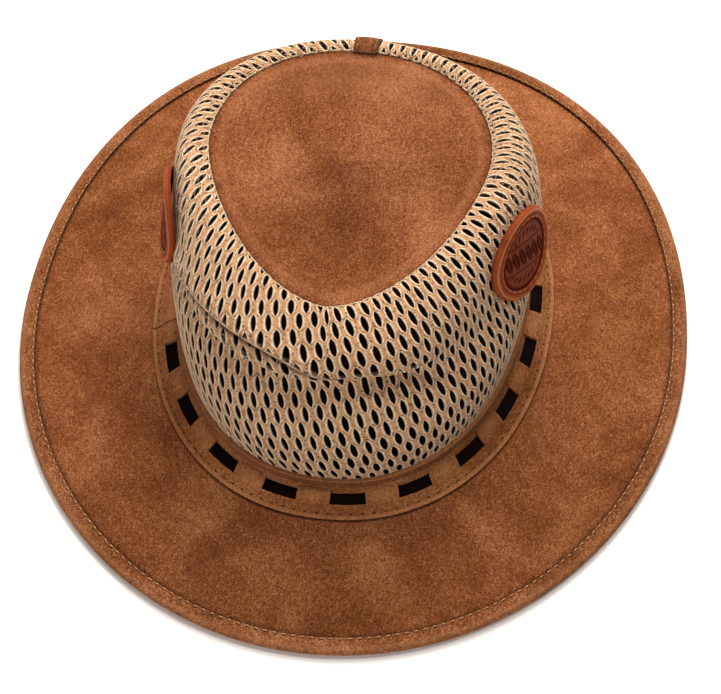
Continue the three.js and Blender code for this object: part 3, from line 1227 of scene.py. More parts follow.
@dataclass
class HatBand:
    """The slotted band, sewn round its outer edge, and the strap laced behind its slots."""

    thickness: float = 1.8
    joint_angle: float = math.radians(199.6)
    joint_gap: float = 0.8
    slots: int = 19
    first_slot: float = 20.6  # its middle, along the band from the joint
    pitch: float = 32.4
    slot_length: float = 17.0
    slot_out: float = 6.25  # middle of the slots, out from the crown wall
    slot_inner: tuple[float, float] = (2.75, 17.0)  # out and height of the slots' inner sides
    slot_outer: tuple[float, float] = (9.75, 14.9)
    bridge_rise: float = 0.8
    stitch_out: float = 13.6
    stitch_spacing: float = 5.4
    stitch: Stitching = Stitching(length=2.0, width=0.75, proud=0.2)
    strap_edges: tuple[float, float] = (9.9, 2.6)
    strap_thickness: float = 1.6
    strap_around: int = 720
    bevel: float = 0.35
    peek: float = 0.9  # how far the strap rises into each slot
    finish: SuedeFinish = SuedeFinish(
        "band_suede_nap", dark="66351a", middle="8b532f", light="b07a52", seed=0.4
    )
    strap_finish: BridleFinish = BridleFinish("dark_strap_leather")
    thread: ThreadFinish = ThreadFinish("dark_thread", "5c301a", "2a130a")

    # the band's face from its edge on the brim to the slots, as (out, height)
    FLANGE_FACE = ((FLANGE, 11.75), (15.6, 12.0), (13.4, 12.3), (11.9, 12.9), (10.7, 14.3))
    BRIDGE_STATIONS = (0.12, 0.3, 0.5, 0.7, 0.88)  # shares of the way from slot to slot
    SLOT_STATIONS = (-1, -0.5, 0, 0.5, 1)  # half lengths from a slot's middle
    SEAM = Swell(stitch_out, 1.3)
    SEAM_BASE = 11.9  # the band's top face stands above it beside the seam
    # painted shade in the groove above the slots and in the gutter between slots and stitching
    GROOVE_FOOT, GROOVE_TOP = Rise(17.2, 0.7), Rise(21.2, 0.8)
    GROOVE_OUT = 3.2
    GUTTER = Swell(11.4, 1.5, 0.14)
    WORN_EDGE = Swell(15.4, 1.8, 0.4)
    WORN_TOP = Rise(21.6, 0.7, 0.5)

    def __post_init__(self) -> None:
        """Measures the slot line from the band's joint right round."""
        self.fine = np.linspace(self.joint_angle, self.joint_angle + FULL_TURN, RING_POINTS)
        self.walked = walk(HEAD.point(self.fine, self.slot_out))

    def face(self) -> Line:
        """Outer face of the band, from its edge on the brim in and up the crown wall.

        Returns:
            Its (out, height) points.
        """
        wall = CLEARANCE + self.thickness
        inner, outer = np.array(self.slot_inner), np.array(self.slot_outer)
        slots = [tuple((outer + (inner - outer) * t).tolist()) for t in (0.25, 0.5, 0.75, 1)]
        rise = [self.slot_inner, (2.35, 17.5), (wall, 18.6), (wall, 20.8), (wall - 0.2, 22.5)]
        return soften([*self.FLANGE_FACE, self.slot_outer]) + slots + soften(rise)[1:]

    def stations(self) -> list[float]:
        """Places along the band where its section stands, closer at the slots' ends.

        Returns:
            Distances from the joint, in order.
        """
        half, bridge = self.slot_length / 2, self.pitch - self.slot_length
        start, end = self.joint_gap / 2, float(self.walked[-1]) - self.joint_gap / 2
        marks = [start]
        for k in range(self.slots):
            middle = self.first_slot + k * self.pitch
            marks += [middle + half * t for t in self.SLOT_STATIONS]
            if k < self.slots - 1:
                marks += [middle + half + bridge * t for t in self.BRIDGE_STATIONS]
        marks += list(np.linspace(middle + half, end, 12)[1:])
        marks += list(np.linspace(start, self.first_slot - half, 6)[1:-1])
        return sorted(marks)

    def slot_at(self, station: Array) -> Array:
        """Signed distance along the band from the nearest slot's middle."""
        k = np.clip(np.round((station - self.first_slot) / self.pitch), 0, self.slots - 1)
        return station - self.first_slot - k * self.pitch

    def flat_band(self) -> BMesh:
        """The band laid straight along X, its section in Y and Z, with its slots cut.

        Returns:
            The flat band.
        """
        outer = self.face()
        bm = bmesh.new()
        stations = self.stations()
        outline = outer + under_line(outer, self.thickness)[::-1]
        bm.faces.new([bm.verts.new((stations[0], out, height)) for out, height in outline])
        edges = list(bm.edges)
        for here, there in zip(stations, stations[1:]):
            made = bmesh.ops.extrude_edge_only(bm, edges=edges)["geom"]
            edges = only(bmesh.types.BMEdge, made)
            moved = only(bmesh.types.BMVert, made)
            bmesh.ops.translate(bm, vec=(there - here, 0, 0), verts=moved)
        bmesh.ops.holes_fill(bm, edges=edges, sides=0)
        bmesh.ops.recalc_face_normals(bm, faces=bm.faces)
        self.cut_slots(bm)
        return bm

    def cut_slots(self, bm: BMesh) -> None:
        """Cuts each slot through both faces of the band and closes its sides.

        Args:
            bm: The flat band.
        """
        half = self.slot_length / 2
        for k in range(self.slots):
            middle = self.first_slot + k * self.pitch
            cut = [face for face in bm.faces if self.in_slot(face, middle)]
            bmesh.ops.delete(bm, geom=cut, context="FACES")
            rims = []
            for edge in bm.edges:
                centre = (edge.verts[0].co.x + edge.verts[1].co.x) / 2
                if edge.is_boundary and abs(centre - middle) < half + 0.1:
                    rims.append(edge)
            bmesh.ops.bridge_loops(bm, edges=rims)
        bmesh.ops.recalc_face_normals(bm, faces=bm.faces)

    def in_slot(self, face: bmesh.types.BMFace, middle: float) -> bool:
        """Whether a face of the flat band lies across the slot with this middle.

        Args:
            face: A face of the band.
            middle: The slot's middle along the band.

        Returns:
            Whether it is one of those that are cut out.
        """
        inner, outer = self.slot_inner[0], self.slot_outer[0]
        centre = face.calc_center_median()
        if abs(centre.x - middle) >= self.slot_length / 2 or abs(face.normal.z) <= 0.5:
            return False
        outs = [v.co.y for v in face.verts]
        in_row = min(outs) > inner - 0.75 and max(outs) < outer + 0.75
        return in_row and inner - 0.4 < centre.y < outer + 0.4

    def leather(self) -> Piece:
        """The band wrapped round the crown.

        Returns:
            The piece.
        """
        bm = self.flat_band()
        station, out, height = places(bm).T
        aside = self.slot_at(station)
        inner, outer = self.slot_inner[0], self.slot_outer[0]
        across = np.sin(math.pi * np.clip((outer - out) / (outer - inner), 0, 1))
        half = self.slot_length / 2
        tail = station > self.first_slot + (self.slots - 0.5) * self.pitch
        bulge = Swell(self.pitch / 2, self.pitch / 2 - half + 1.2)(np.abs(aside))
        bulge = np.where(tail, 1, bulge)
        height = height + self.bridge_rise * bulge * across
        at_end = Swell(half, 0.6)(np.abs(aside)) * ~tail
        station = station - np.sign(aside) * 0.2 * at_end * across
        seam = self.SEAM(out) * (height > self.SEAM_BASE)
        height = height - 0.3 * seam * wave(station / self.stitch_spacing)
        groove = self.GROOVE_FOOT(height) * (1 - self.GROOVE_TOP(height)) * (out < self.GROOVE_OUT)
        # painted shade in the top groove, along the stitch line and in the gutter, lighter under the
        # raised bridges
        dark = 0.45 * groove + 0.2 * seam + self.GUTTER(out) * (1 - bulge * 0.5)
        mark(bm, "shade", np.clip(dark, 0, 1))
        # painted highlights at the slot ends and on the crests of the raised bridges, with paler scuffed
        # band edges
        ends = Swell(half, 1.1, 0.35)(np.abs(aside)) * across * ~tail
        scuffs_and_highlights = self.WORN_EDGE(out) + self.WORN_TOP(height) + ends + 0.45 * bulge * across
        mark(bm, "wear", np.clip(scuffs_and_highlights, 0, 1))
        put(bm, HEAD.point(np.interp(station, self.walked, self.fine), out, height))
        bmesh.ops.recalc_face_normals(bm, faces=bm.faces)
        return finish_piece(bm, "slotted_band", self.finish.make(), Slot.BAND, ["hat_band"], crisp=38)

    def strap(self) -> Piece:
        """The strap, rising a little into each slot.

        Returns:
            The piece.
        """
        outer, inner = self.strap_edges
        lift, bevel = CLEARANCE + self.strap_thickness, self.bevel
        line = [
            (outer, CLEARANCE), (outer, lift - bevel), (outer - bevel, lift), (outer - 1.6, lift + 0.15),
            ((outer + inner) / 2, lift + 0.2), (inner + 1.6, lift + 0.15), (inner + bevel, lift),
            (inner, lift - bevel), (inner, CLEARANCE),
        ]
        bm, angle, out, rise = ribbon(line, self.strap_around)
        turned = (angle - self.joint_angle) % FULL_TURN + self.joint_angle
        station = np.interp(turned, self.fine, self.walked)
        peek = Swell(0, self.slot_length * 0.62)(self.slot_at(station))
        brim_top = BRIM_TOP + (FLANGE_TOP - BRIM_TOP) * out / FLANGE
        height = brim_top + rise + self.peek * peek * (rise > 1)
        # painted highlight along the strap's inner edge and where it rises into each slot
        mark(bm, "wear", np.clip(Swell(inner + 0.3, 0.9)(out) + 0.3 * peek, 0, 1))
        put(bm, HEAD.point(angle, out, height))
        return finish_piece(bm, "laced_strap", self.strap_finish.make(), Slot.STRAP, ["band_strap"])

    def sewing(self) -> Piece:
        """The dark stitches round the band's outer edge.

        Returns:
            The piece.
        """
        ends = (self.joint_angle + 0.02, self.joint_angle + FULL_TURN - 0.02)
        outs, heights = zip(*sorted(self.face()))
        level = float(np.interp(self.stitch_out, outs, heights)) - 0.2

        def lean(angle: Array) -> Array:
            """Up and a little outwards."""
            return (HEAD.point(angle, 1.0) - HEAD.point(angle, 0.0)) * 0.5 + np.array((0, 0, 1))

        seats = seats_round(
            lambda a: HEAD.point(a, self.stitch_out, level), lean, self.stitch_spacing, *ends, 7, 9
        )
        return finish_piece(self.stitch.sew(seats), "band_stitches", self.thread.make(), Slot.BAND)

    def build(self) -> None:
        """Makes the band's pieces."""
        self.leather()
        self.strap()
        self.sewing()


# ---- Crown ----------------------------------------------------------------------------------


class FoldLine(NamedTuple):
    """A fold on the flat cloth: points of its line, and how much it bites and how sharp it is
    at each of them."""

    points: Array
    bites: Array
    sharps: Array


@dataclass
class KnitWall:
    """The crown wall of open knit: a flat cloth of spindle-shaped holes, cut as a curved strip and
    wrapped round the crown with its two ends at the back seam."""

    pitch: float = 6.2  # from hole to hole along a row
    row: float = 7.2  # from row to row, each staggered by half the pitch
    hole_length: float = 8.2
    hole_width: float = 2.0
    ridge: float = 0.34  # how proud the ribs stand
    lip: float = 0.42  # half the thickness of the fold's rounded edge
    hem: float = 1.1  # how far a rib at the cloth's edge is drawn in
    grain_angle: float = 305.0  # where around the crown the rows run level
    narrowing: float = 0.88  # the wall's mean length as a share of its length at the base
    columns: int = 720
    seed: int = 7
    finish: KnitFinish = KnitFinish("cotton_knit_yarn")

    RUN_STEPS = 220  # steps in which the wall's height is walked
    UP_STEP = 0.5  # distance from row to row of the tables of the wall
    CURVE_LEVEL = 5.0  # the wall's direction at its base is taken towards this level
    SEARCH = 12  # every so many columns are tried first for a point's place
    SIDEWAYS = 40  # what lying aside of a column counts for in that search
    SETTLES, SETTLE_SHARE = 12, 0.8  # rounds of settling onto a column, and share of each step
    SPARE = 3  # columns past the seam that a point may settle on

    CELL_SIDES = 12
    # share of the way from the rib's middle to the hole's edge, and height: top face, then under
    CELL_RINGS = ((0.0, -0.24), (0.36, -0.08), (0.74, 0.0), (0.94, -0.22), (0.99, -0.58), (0.0, -0.84))
    CELL_WELD = 0.01
    # ranges of a hole's width and length, as shares of what they are meant to be, and of its slant
    WIDTHS, LENGTHS, SLANTS = (0.88, 1.12), (0.94, 1.04), (-0.035, 0.035)
    MARGINS = (20, 130)  # how far below and above the cloth's base holes are looked for

    # where holes are wider or narrower: degrees round, over how many to each side, and how much
    WIDE_FRONT, WIDE_RIGHT, WIDE_LEFT = (282, 60, 0.6), (305, 60, 0.5), (212, 60, 1)
    UPPER = Rise(40, 40)
    LEFT_LOW, LEFT_FALL = 0.8, Rise(38, 25, 1.2)

    # the sharp fold in front: degrees round, level of the table, and how much it bites
    CREASE = (
        (205, 5.3, 0), (210, 5.8, 0.7), (215.5, 6.28, 1), (226.5, 6.8, 1), (232.2, 6.92, 1),
        (239.3, 7.05, 1), (246.8, 7.12, 1), (253.3, 7.15, 1), (258.2, 7.08, 1), (263.5, 6.82, 1),
        (267.8, 6.45, 1), (272.2, 5.95, 0.95), (278, 5.5, 0.9), (285, 5.15, 0.85), (295, 4.7, 0.7),
        (300, 4.48, 0.55), (307.5, 4.05, 0.3), (317, 3.5, 0),
    )
    CREASE_POINTS, CREASE_ROUNDS = 33, 4  # points of its line, and rounds of smoothing
    LEVEL_WEIGHT, ANGLE_WEIGHT = 10, 90  # what a level and a radian count for when it is looked up
    CUT_NEAR = 9  # faces within this of its line may be cut
    CUT_ALONG, CUT_ASIDE = 1.2, 4  # and those within this of a stretch of it are
    CUT_SNAP = 0.05  # a vertex as near as this to the cut is on it
    OPENS = Rise(264, 16)  # where round the crown it opens into a valley
    LIP_STEPS, LIP_SIDES = 300, 8

    # what the fold does to the cloth by the distance above its line
    ABOVE = -0.04  # from here on it hangs over
    HANG = Swell(0, 4, -1.1)
    OVERHANG = Swell(1.2, 8, 1.5)
    DIP, DIP_TOP = Swell(-0.4, 9, -1.3), -0.4
    VALLEY = Swell(0.5, 10, -4.0)
    # painted shade in the crack under the fold's lip and along its soft valley
    CRACK_ABOVE, CRACK_BELOW = Swell(0, 0.9, 0.35), Swell(-2.0, 3.4)
    CRACK_DARK = 1.7
    VALLEY_DARK = Swell(0, 4, 0.4)

    def __post_init__(self) -> None:
        """Runs lines up the crown wall from its base and develops the base flat."""
        self.base_angle = np.radians(np.linspace(-270, 90, self.columns + 1))
        self.index = np.arange(self.columns + 1)
        self.run_lines(self.base_angle)
        self.develop(self.base_angle)

    def run_lines(self, angles: Array) -> None:
        """Follows the steepest way up the wall from each angle, and tabulates it by distance.

        Args:
            angles: Where round the base the lines start.
        """
        rise = CROWN.seam / self.RUN_STEPS
        level, angle = np.zeros_like(angles), angles.copy()
        track = [(level, angle, np.zeros_like(angles))]
        for _ in range(self.RUN_STEPS):
            up, around = CROWN.slopes(level, angle)
            slide = -(up * around).sum(-1) / (around * around).sum(-1)
            before = CROWN.point(level, angle)
            angle = angle + slide * rise
            level = np.minimum(level + rise, CROWN.seam)
            gone = np.linalg.norm(CROWN.point(level, angle) - before, axis=-1)
            track.append((level, angle, track[-1][2] + gone))
        levels, turned, distance = (np.array(x) for x in zip(*track))
        self.reach = distance[-1]
        self.heights = np.arange(0, self.reach.max() + self.UP_STEP, self.UP_STEP)
        self.level_at, self.angle_at = (
            np.stack([np.interp(self.heights, *line) for line in zip(distance.T, table.T)], 1)
            for table in (levels, turned)
        )

    def develop(self, angles: Array) -> None:
        """Lays the base of the wall out flat, as the curved edge of a cut cloth.

        Args:
            angles: Where round the base its points lie.
        """
        base = CROWN.point(0.0, angles)
        step = np.diff(base, axis=0)
        lengths = np.linalg.norm(step, axis=1)
        along = step / lengths[:, None]
        up = (CROWN.point(self.CURVE_LEVEL, angles) - base)[1:]
        up -= (up * along).sum(1)[:, None] * along
        up /= np.linalg.norm(up, axis=1)[:, None]
        turning = np.concatenate([[0.0, 0.0], ((along[1:] - along[:-1]) * up[1:]).sum(1)])
        turn = np.cumsum(turning)
        grain = int(np.argmin(np.abs(angles - math.radians(self.grain_angle - 360))))
        self.turn = turn - turn[grain]
        heading = (self.turn[1:] + self.turn[:-1]) / 2
        self.cut = np.vstack([[0, 0], np.cumsum(lengths[:, None] * facing(heading), 0)])
        self.cut -= self.cut[grain]
        self.length = float(lengths.sum())

    def wrap(self, flat: Array) -> tuple[Array, Array]:
        """Finds where points of the flat cloth land on the crown.

        Args:
            flat: The points.

        Returns:
            Their columns round the base, and their distances up.
        """
        across = facing(self.turn)
        coarse = np.arange(0, self.columns + 1, self.SEARCH)
        gap = flat[:, None, :] - self.cut[None, coarse, :]
        miss = (gap**2).sum(2) + self.SIDEWAYS * np.abs((gap * across[coarse]).sum(2))
        column = coarse[np.argmin(miss, 1)].astype(float)
        spacing = self.length / self.columns

        def at(table: Array) -> Array:
            """A table's rows at the present columns."""
            return np.stack([np.interp(column, self.index, values) for values in table.T], 1)

        for _ in range(self.SETTLES):
            aside = ((flat - at(self.cut)) * at(across)).sum(1) / spacing
            column = np.clip(column + self.SETTLE_SHARE * aside, -self.SPARE, self.columns + self.SPARE)
        away = flat - at(self.cut)
        beyond = (away * at(across)).sum(1) / spacing
        column = column + np.where((column <= 0) | (column >= self.columns), beyond, 0)
        return column, (away * at(quarter_turn(across))).sum(1)

    def on_wall(self, column: Array, height: Array) -> tuple[Array, Array]:
        """Finds places of the wrapped cloth on the crown.

        Args:
            column: Columns round the base.
            height: Distances up.

        Returns:
            Their levels and angles on the crown.
        """
        c = np.clip(column, 0, self.columns - 1e-6)
        h = np.clip(height / self.UP_STEP, 0, len(self.heights) - 1.001)
        i, j = h.astype(int), c.astype(int)
        p, q = h - i, c - j

        def sample(table: Array) -> Array:
            """A table's values between its rows and columns.

            Args:
                table: The table.

            Returns:
                A value for each place.
            """
            low = table[i, j] * (1 - q) + table[i, j + 1] * q
            high = table[i + 1, j] * (1 - q) + table[i + 1, j + 1] * q
            return low * (1 - p) + high * p

        return sample(self.level_at), sample(self.angle_at)

    def top_at(self, column: Array) -> Array:
        """Distance up the wall to the seam of the top, at columns round the base."""
        return np.interp(column, self.index, self.reach)

    def spills(self, column: Array, height: Array) -> Array:
        """Whether places of the cloth lie past the edges of its cut."""
        ends = (column <= 0) | (column >= self.columns)
        return ends | (height <= 0) | (height >= self.top_at(column))

    def hole_centres(self) -> Array:
        """Middles of the holes whose cells reach into the cut cloth.

        Returns:
            Their places on the flat cloth.
        """
        low, high = self.cut.min(0) - self.MARGINS[0], self.cut.max(0) + self.MARGINS[1]
        rows = np.arange(math.floor(low[1] / self.row), math.ceil(high[1] / self.row) + 1)
        spots = np.arange(math.floor(low[0] / self.pitch), math.ceil(high[0] / self.pitch) + 1)
        grid = np.array([((k + 0.5 * (r % 2)) * self.pitch, r * self.row) for r in rows for k in spots])
        corners = np.array([corner.to_tuple() for corner in self.outlines()[0]])
        around = (grid[:, None, :] + corners[None]).reshape(-1, 2)
        outside = self.spills(*self.wrap(around)).reshape(len(grid), -1).all(1)
        return grid[~outside]

    def hole_widths(self, centres: Array) -> Array:
        """Measures out how wide each hole stands open. Holes are wider high up in front and low
        down at both sides, and narrower high up at the left.

        Args:
            centres: Middles of the holes.

        Returns:
            The widths.
        """
        column, height = self.wrap(centres)
        angle = np.interp(column, self.index, self.base_angle)
        front, right, left = (
            more * bell(degrees_apart(angle, middle) / span)
            for middle, span, more in (self.WIDE_FRONT, self.WIDE_RIGHT, self.WIDE_LEFT)
        )
        upper = self.UPPER(height)
        sides = right * (1 - upper) + left * (self.LEFT_LOW - self.LEFT_FALL(height))
        return self.hole_width + front * upper + sides

    def cell(self) -> tuple[BMesh, list[list[bmesh.types.BMVert]]]:
        """One hole with the halves of the ribs round it, to be shaped ring by ring.

        Returns:
            The cell, and the vertices of each of its rings.
        """
        bm = bmesh.new()
        layer = bm.verts.layers.float.new("rib")
        bm.verts.layers.float.new("rolled")
        bmesh.ops.create_circle(bm, cap_ends=False, segments=self.CELL_SIDES, radius=1)
        edges, verts = list(bm.edges), list(bm.verts)
        rings = []
        for share, _ in self.CELL_RINGS:
            if rings:
                made = bmesh.ops.extrude_edge_only(bm, edges=edges)["geom"]
                edges, verts = only(bmesh.types.BMEdge, made), only(bmesh.types.BMVert, made)
            for vert in verts:
                vert[layer] = share
            rings.append(sorted(verts, key=lambda v: math.atan2(v.co.x, -v.co.y)))
        return bm, rings

    def outlines(self) -> tuple[list[Vector], list[Vector]]:
        """Corners of a cell and of a hole one wide and one long, in the order of its rings.

        Returns:
            The cell's corners and the hole's.
        """
        tall, low, half = self.row * 2 / 3, self.row / 3, self.pitch / 2
        slope = (tall + low) / 2
        corners = [
            (0, -tall), (half / 2, -slope), (half, -low), (half, 0), (half, low), (half / 2, slope),
            (0, tall),
        ]
        left = [(-x, y) for x, y in corners[-2:0:-1]]
        hole = []
        for k in range(self.CELL_SIDES):
            turn = FULL_TURN * k / self.CELL_SIDES
            along = -math.copysign(abs(math.cos(turn)) ** 0.85, math.cos(turn))
            side = round(math.sin(turn), 6)
            hole.append((math.copysign(0.5 * (1 - abs(along) ** 2.5), side) if side else 0.0, along / 2))
        return [Vector(c) for c in corners + left], [Vector(h) for h in hole]

    def flat_cloth(self) -> BMesh:
        """The cloth before it is wrapped, hole by hole, in its own plane.

        Returns:
            The flat cloth.
        """
        cell, rings = self.cell()
        corners, hole = self.outlines()
        stamped = bpy.data.meshes.new("knit_cell")
        bm = bmesh.new()
        centres = self.hole_centres()
        chance = random.Random(self.seed)
        for centre, width in zip(centres, self.hole_widths(centres)):
            wide = width * chance.uniform(*self.WIDTHS)
            long = self.hole_length * chance.uniform(*self.LENGTHS)
            lean = chance.uniform(*self.SLANTS)
            middle = Vector(centre)
            for ring, (share, height) in zip(rings, self.CELL_RINGS):
                for vert, corner, rim in zip(ring, corners, hole):
                    edge = Vector((rim.x * wide + rim.y * long * lean, rim.y * long))
                    spot = middle + corner.lerp(edge, share)
                    vert.co = (spot.x, spot.y, height)
            cell.to_mesh(stamped)
            bm.from_mesh(stamped)
        cell.free()
        bpy.data.meshes.remove(stamped)
        bmesh.ops.remove_doubles(bm, verts=bm.verts, dist=self.CELL_WELD)
        return bm

    def fold_line(self) -> FoldLine:
        """The sharp fold on the flat cloth.

        Returns:
            The fold.
        """
        rounds, levels, bites = zip(*self.CREASE)
        degrees = np.linspace(rounds[0], rounds[-1], self.CREASE_POINTS)
        points = []
        for angle, level in zip(np.radians(degrees - 360), np.interp(degrees, rounds, levels)):
            levels_off = self.LEVEL_WEIGHT * (self.level_at - level)
            angles_off = self.ANGLE_WEIGHT * (self.angle_at - angle)
            miss = levels_off**2 + angles_off**2
            row, column = np.unravel_index(np.argmin(miss), miss.shape)
            upward = quarter_turn(facing(self.turn[column]))
            points.append(self.cut[column] + self.heights[row] * upward)
        line = np.array(points)
        for _ in range(self.CREASE_ROUNDS):
            line[1:-1] = (line[:-2] + 2 * line[1:-1] + line[2:]) / 4
        return FoldLine(line, np.interp(degrees, rounds, bites), 1 - self.OPENS(degrees))

    def cut_along(self, bm: BMesh, line: Array) -> None:
        """Gives the flat cloth an edge all along a line.

        Args:
            bm: The flat cloth.
            line: Points of the line.
        """
        centres = np.array([f.calc_center_median().to_tuple()[:2] for f in bm.faces])
        near = np.min(np.linalg.norm(centres[:, None] - line[None], axis=2), 1) < self.CUT_NEAR
        pool = {face for face, wanted in zip(bm.faces, near) if wanted}
        for a, b in zip(line, line[1:]):
            middle, span = (a + b) / 2, b - a
            length = float(np.linalg.norm(span))
            along = span / length
            normal = quarter_turn(along)
            faces = []
            for face in pool:
                centre = np.array(face.calc_center_median().to_tuple()[:2]) - middle
                beside = abs(centre @ along) < length / 2 + self.CUT_ALONG
                if beside and abs(centre @ normal) < self.CUT_ASIDE:
                    faces.append(face)
            geometry = {*faces, *(e for f in faces for e in f.edges), *(v for f in faces for v in f.verts)}
            made = bmesh.ops.bisect_plane(
                bm, geom=list(geometry), dist=self.CUT_SNAP, plane_co=(*middle, 0), plane_no=(*normal, 0)
            )
            pool |= set(only(bmesh.types.BMFace, made["geom"]))
            pool = {face for face in pool if face.is_valid}

    @staticmethod
    def beside(flat: Array, fold: FoldLine) -> tuple[Array, Array, Array, Array]:
        """Where points of the flat cloth lie beside a fold.

        Args:
            flat: Points of the flat cloth.
            fold: The fold.

        Returns:
            Their distances above its line, the directions away from it, and the fold's bite and
            sharpness next to them.
        """
        span = np.diff(fold.points, axis=0)
        length = np.linalg.norm(span, axis=1)
        along = span / length[:, None]
        gap = flat[:, None, :] - fold.points[None, :-1, :]
        share = np.clip((gap * along).sum(2) / length, 0, 1)
        miss = np.linalg.norm(gap - span[None] * share[..., None], axis=2)
        nearest = np.argmin(miss, 1)
        rows = np.arange(len(flat))
        normal = quarter_turn(along)[nearest]
        past = np.copysign(miss[rows, nearest], (gap[rows, nearest] * normal).sum(1))
        place = nearest + share[rows, nearest]
        spots = np.arange(len(fold.points))
        return past, normal, np.interp(place, spots, fold.bites), np.interp(place, spots, fold.sharps)

    def fold_over(self, past: Array, bite: Array, sharp: Array) -> tuple[Array, Array, Array]:
        """Folds the cloth along a line.

        The cloth above the fold hangs over the cloth below it, and where the fold isn't sharp it
        opens into a soft valley.

        Args:
            past: Distances of the points above the line.
            bite: How much the fold bites there.
            sharp: How sharp it is there.

        Returns:
            How far the points slide up, how far they are pushed outwards, and how much painted shade they
            get.
        """
        above, soft = past > self.ABOVE, 1 - sharp
        hang = np.where(above, self.HANG(past) * sharp * bite, 0)
        bent = np.where(above, self.OVERHANG(past), self.DIP(np.minimum(past, self.DIP_TOP)))
        push = bite * (sharp * bent + self.VALLEY(past) * soft)
        crack = np.where(above, self.CRACK_ABOVE(past), self.CRACK_BELOW(past))
        return hang, push, bite * (self.CRACK_DARK * crack * sharp + self.VALLEY_DARK(past) * soft)

    def roll_lip(self, bm: BMesh, fold: FoldLine) -> None:
        """Lays the rounded edge of a fold along its line, thinning out where the fold opens.

        Args:
            bm: The flat cloth.
            fold: The fold.
        """
        before = set(bm.verts)
        bmesh.ops.create_grid(bm, x_segments=self.LIP_STEPS, y_segments=self.LIP_SIDES, size=1)
        made = [v for v in bm.verts if v not in before]
        grid = np.array([v.co.to_tuple() for v in made])
        spots = np.arange(len(fold.points))
        spot, turn = (grid[:, 0] + 1) / 2 * spots[-1], math.pi * grid[:, 1]
        lines = (*fold.points.T, *left_of(fold.points).T, fold.bites * fold.sharps)
        x, y, across, along, strength = (np.interp(spot, spots, values) for values in lines)
        thick = self.lip * np.minimum(1, 1.5 * strength)
        out = 0.1 + thick * np.cos(turn)
        rolled, rib = bm.verts.layers.float["rolled"], bm.verts.layers.float["rib"]
        places_on = np.stack([x + out * across, y + out * along, thick * np.sin(turn) - 0.1], 1)
        for vert, place in zip(made, places_on):
            vert.co = place
            vert[rolled] = 1
            vert[rib] = 0.5

    def shape(self, bm: BMesh, fold: FoldLine) -> None:
        """Folds the flat cloth, wraps it round the crown and marks the painted shade on it.

        Args:
            bm: The flat cloth, with its fold's lip.
            fold: The fold.
        """
        points = places(bm)
        layers = bm.verts.layers.float
        share, rolled = (np.array([v[layers[name]] for v in bm.verts]) for name in ("rib", "rolled"))
        past, away, bite, sharp = self.beside(points[:, :2], fold)
        past = np.where(rolled > 0.5, 0.4, past)
        hang, push, shade = self.fold_over(past, bite, sharp)
        column, height = self.wrap(points[:, :2] + away * hang[:, None])
        at_edge = self.spills(column, height)
        hem = self.hem * share
        side = hem / (self.length / self.columns)
        column = np.clip(column, side, self.columns - side)
        height = np.clip(height, hem, self.top_at(column) - hem)
        level, angle = self.on_wall(column, height)
        deep = points[:, 2]
        # painted shade on the holes' inner walls and on the cloth's underside
        under = ramp((0.02 - deep) / 0.34) * (share > 0.9) + 0.8 * (deep < -0.8)
        mark(bm, "shade", np.clip(shade + under, 0, 1))
        self.lay_out(bm, points)
        rise = np.where(at_edge & (share < 0.01), -0.2, deep + self.ridge)
        put(bm, CROWN.off(level, angle, rise + push))

    def build(self) -> Piece:
        """Makes the knitted wall.

        Returns:
            The piece.
        """
        bm = self.flat_cloth()
        fold = self.fold_line()
        self.cut_along(bm, fold.points)
        self.cut_along(bm, fold.points - 0.5 * left_of(fold.points))
        self.roll_lip(bm, fold)
        self.shape(bm, fold)
        bmesh.ops.remove_doubles(bm, verts=bm.verts, dist=0.02)
        bmesh.ops.recalc_face_normals(bm, faces=bm.faces)
        open_edge = sum(e.calc_length() for e in bm.edges if e.is_boundary)
        log.info("knit_wall: %.0f mm of open edge", open_edge)
        piece = finish_piece(bm, "knit_wall", self.finish.make(), Slot.KNIT, ["crown_mesh"], crisp=80)
        return piece

    @staticmethod
    def lay_out(bm: BMesh, points: Array) -> None:
        """Keeps each point's place on the flat cloth as its UV, in metres.

        Args:
            bm: The cloth.
            points: Its vertices' places when it is flat.
        """
        bm.verts.index_update()
        layer = bm.loops.layers.uv.new("UVMap")
        flat = (points[:, :2] * METRES).tolist()
        for face in bm.faces:
            for loop in face.loops:
                loop[layer].uv = flat[loop.vert.index]


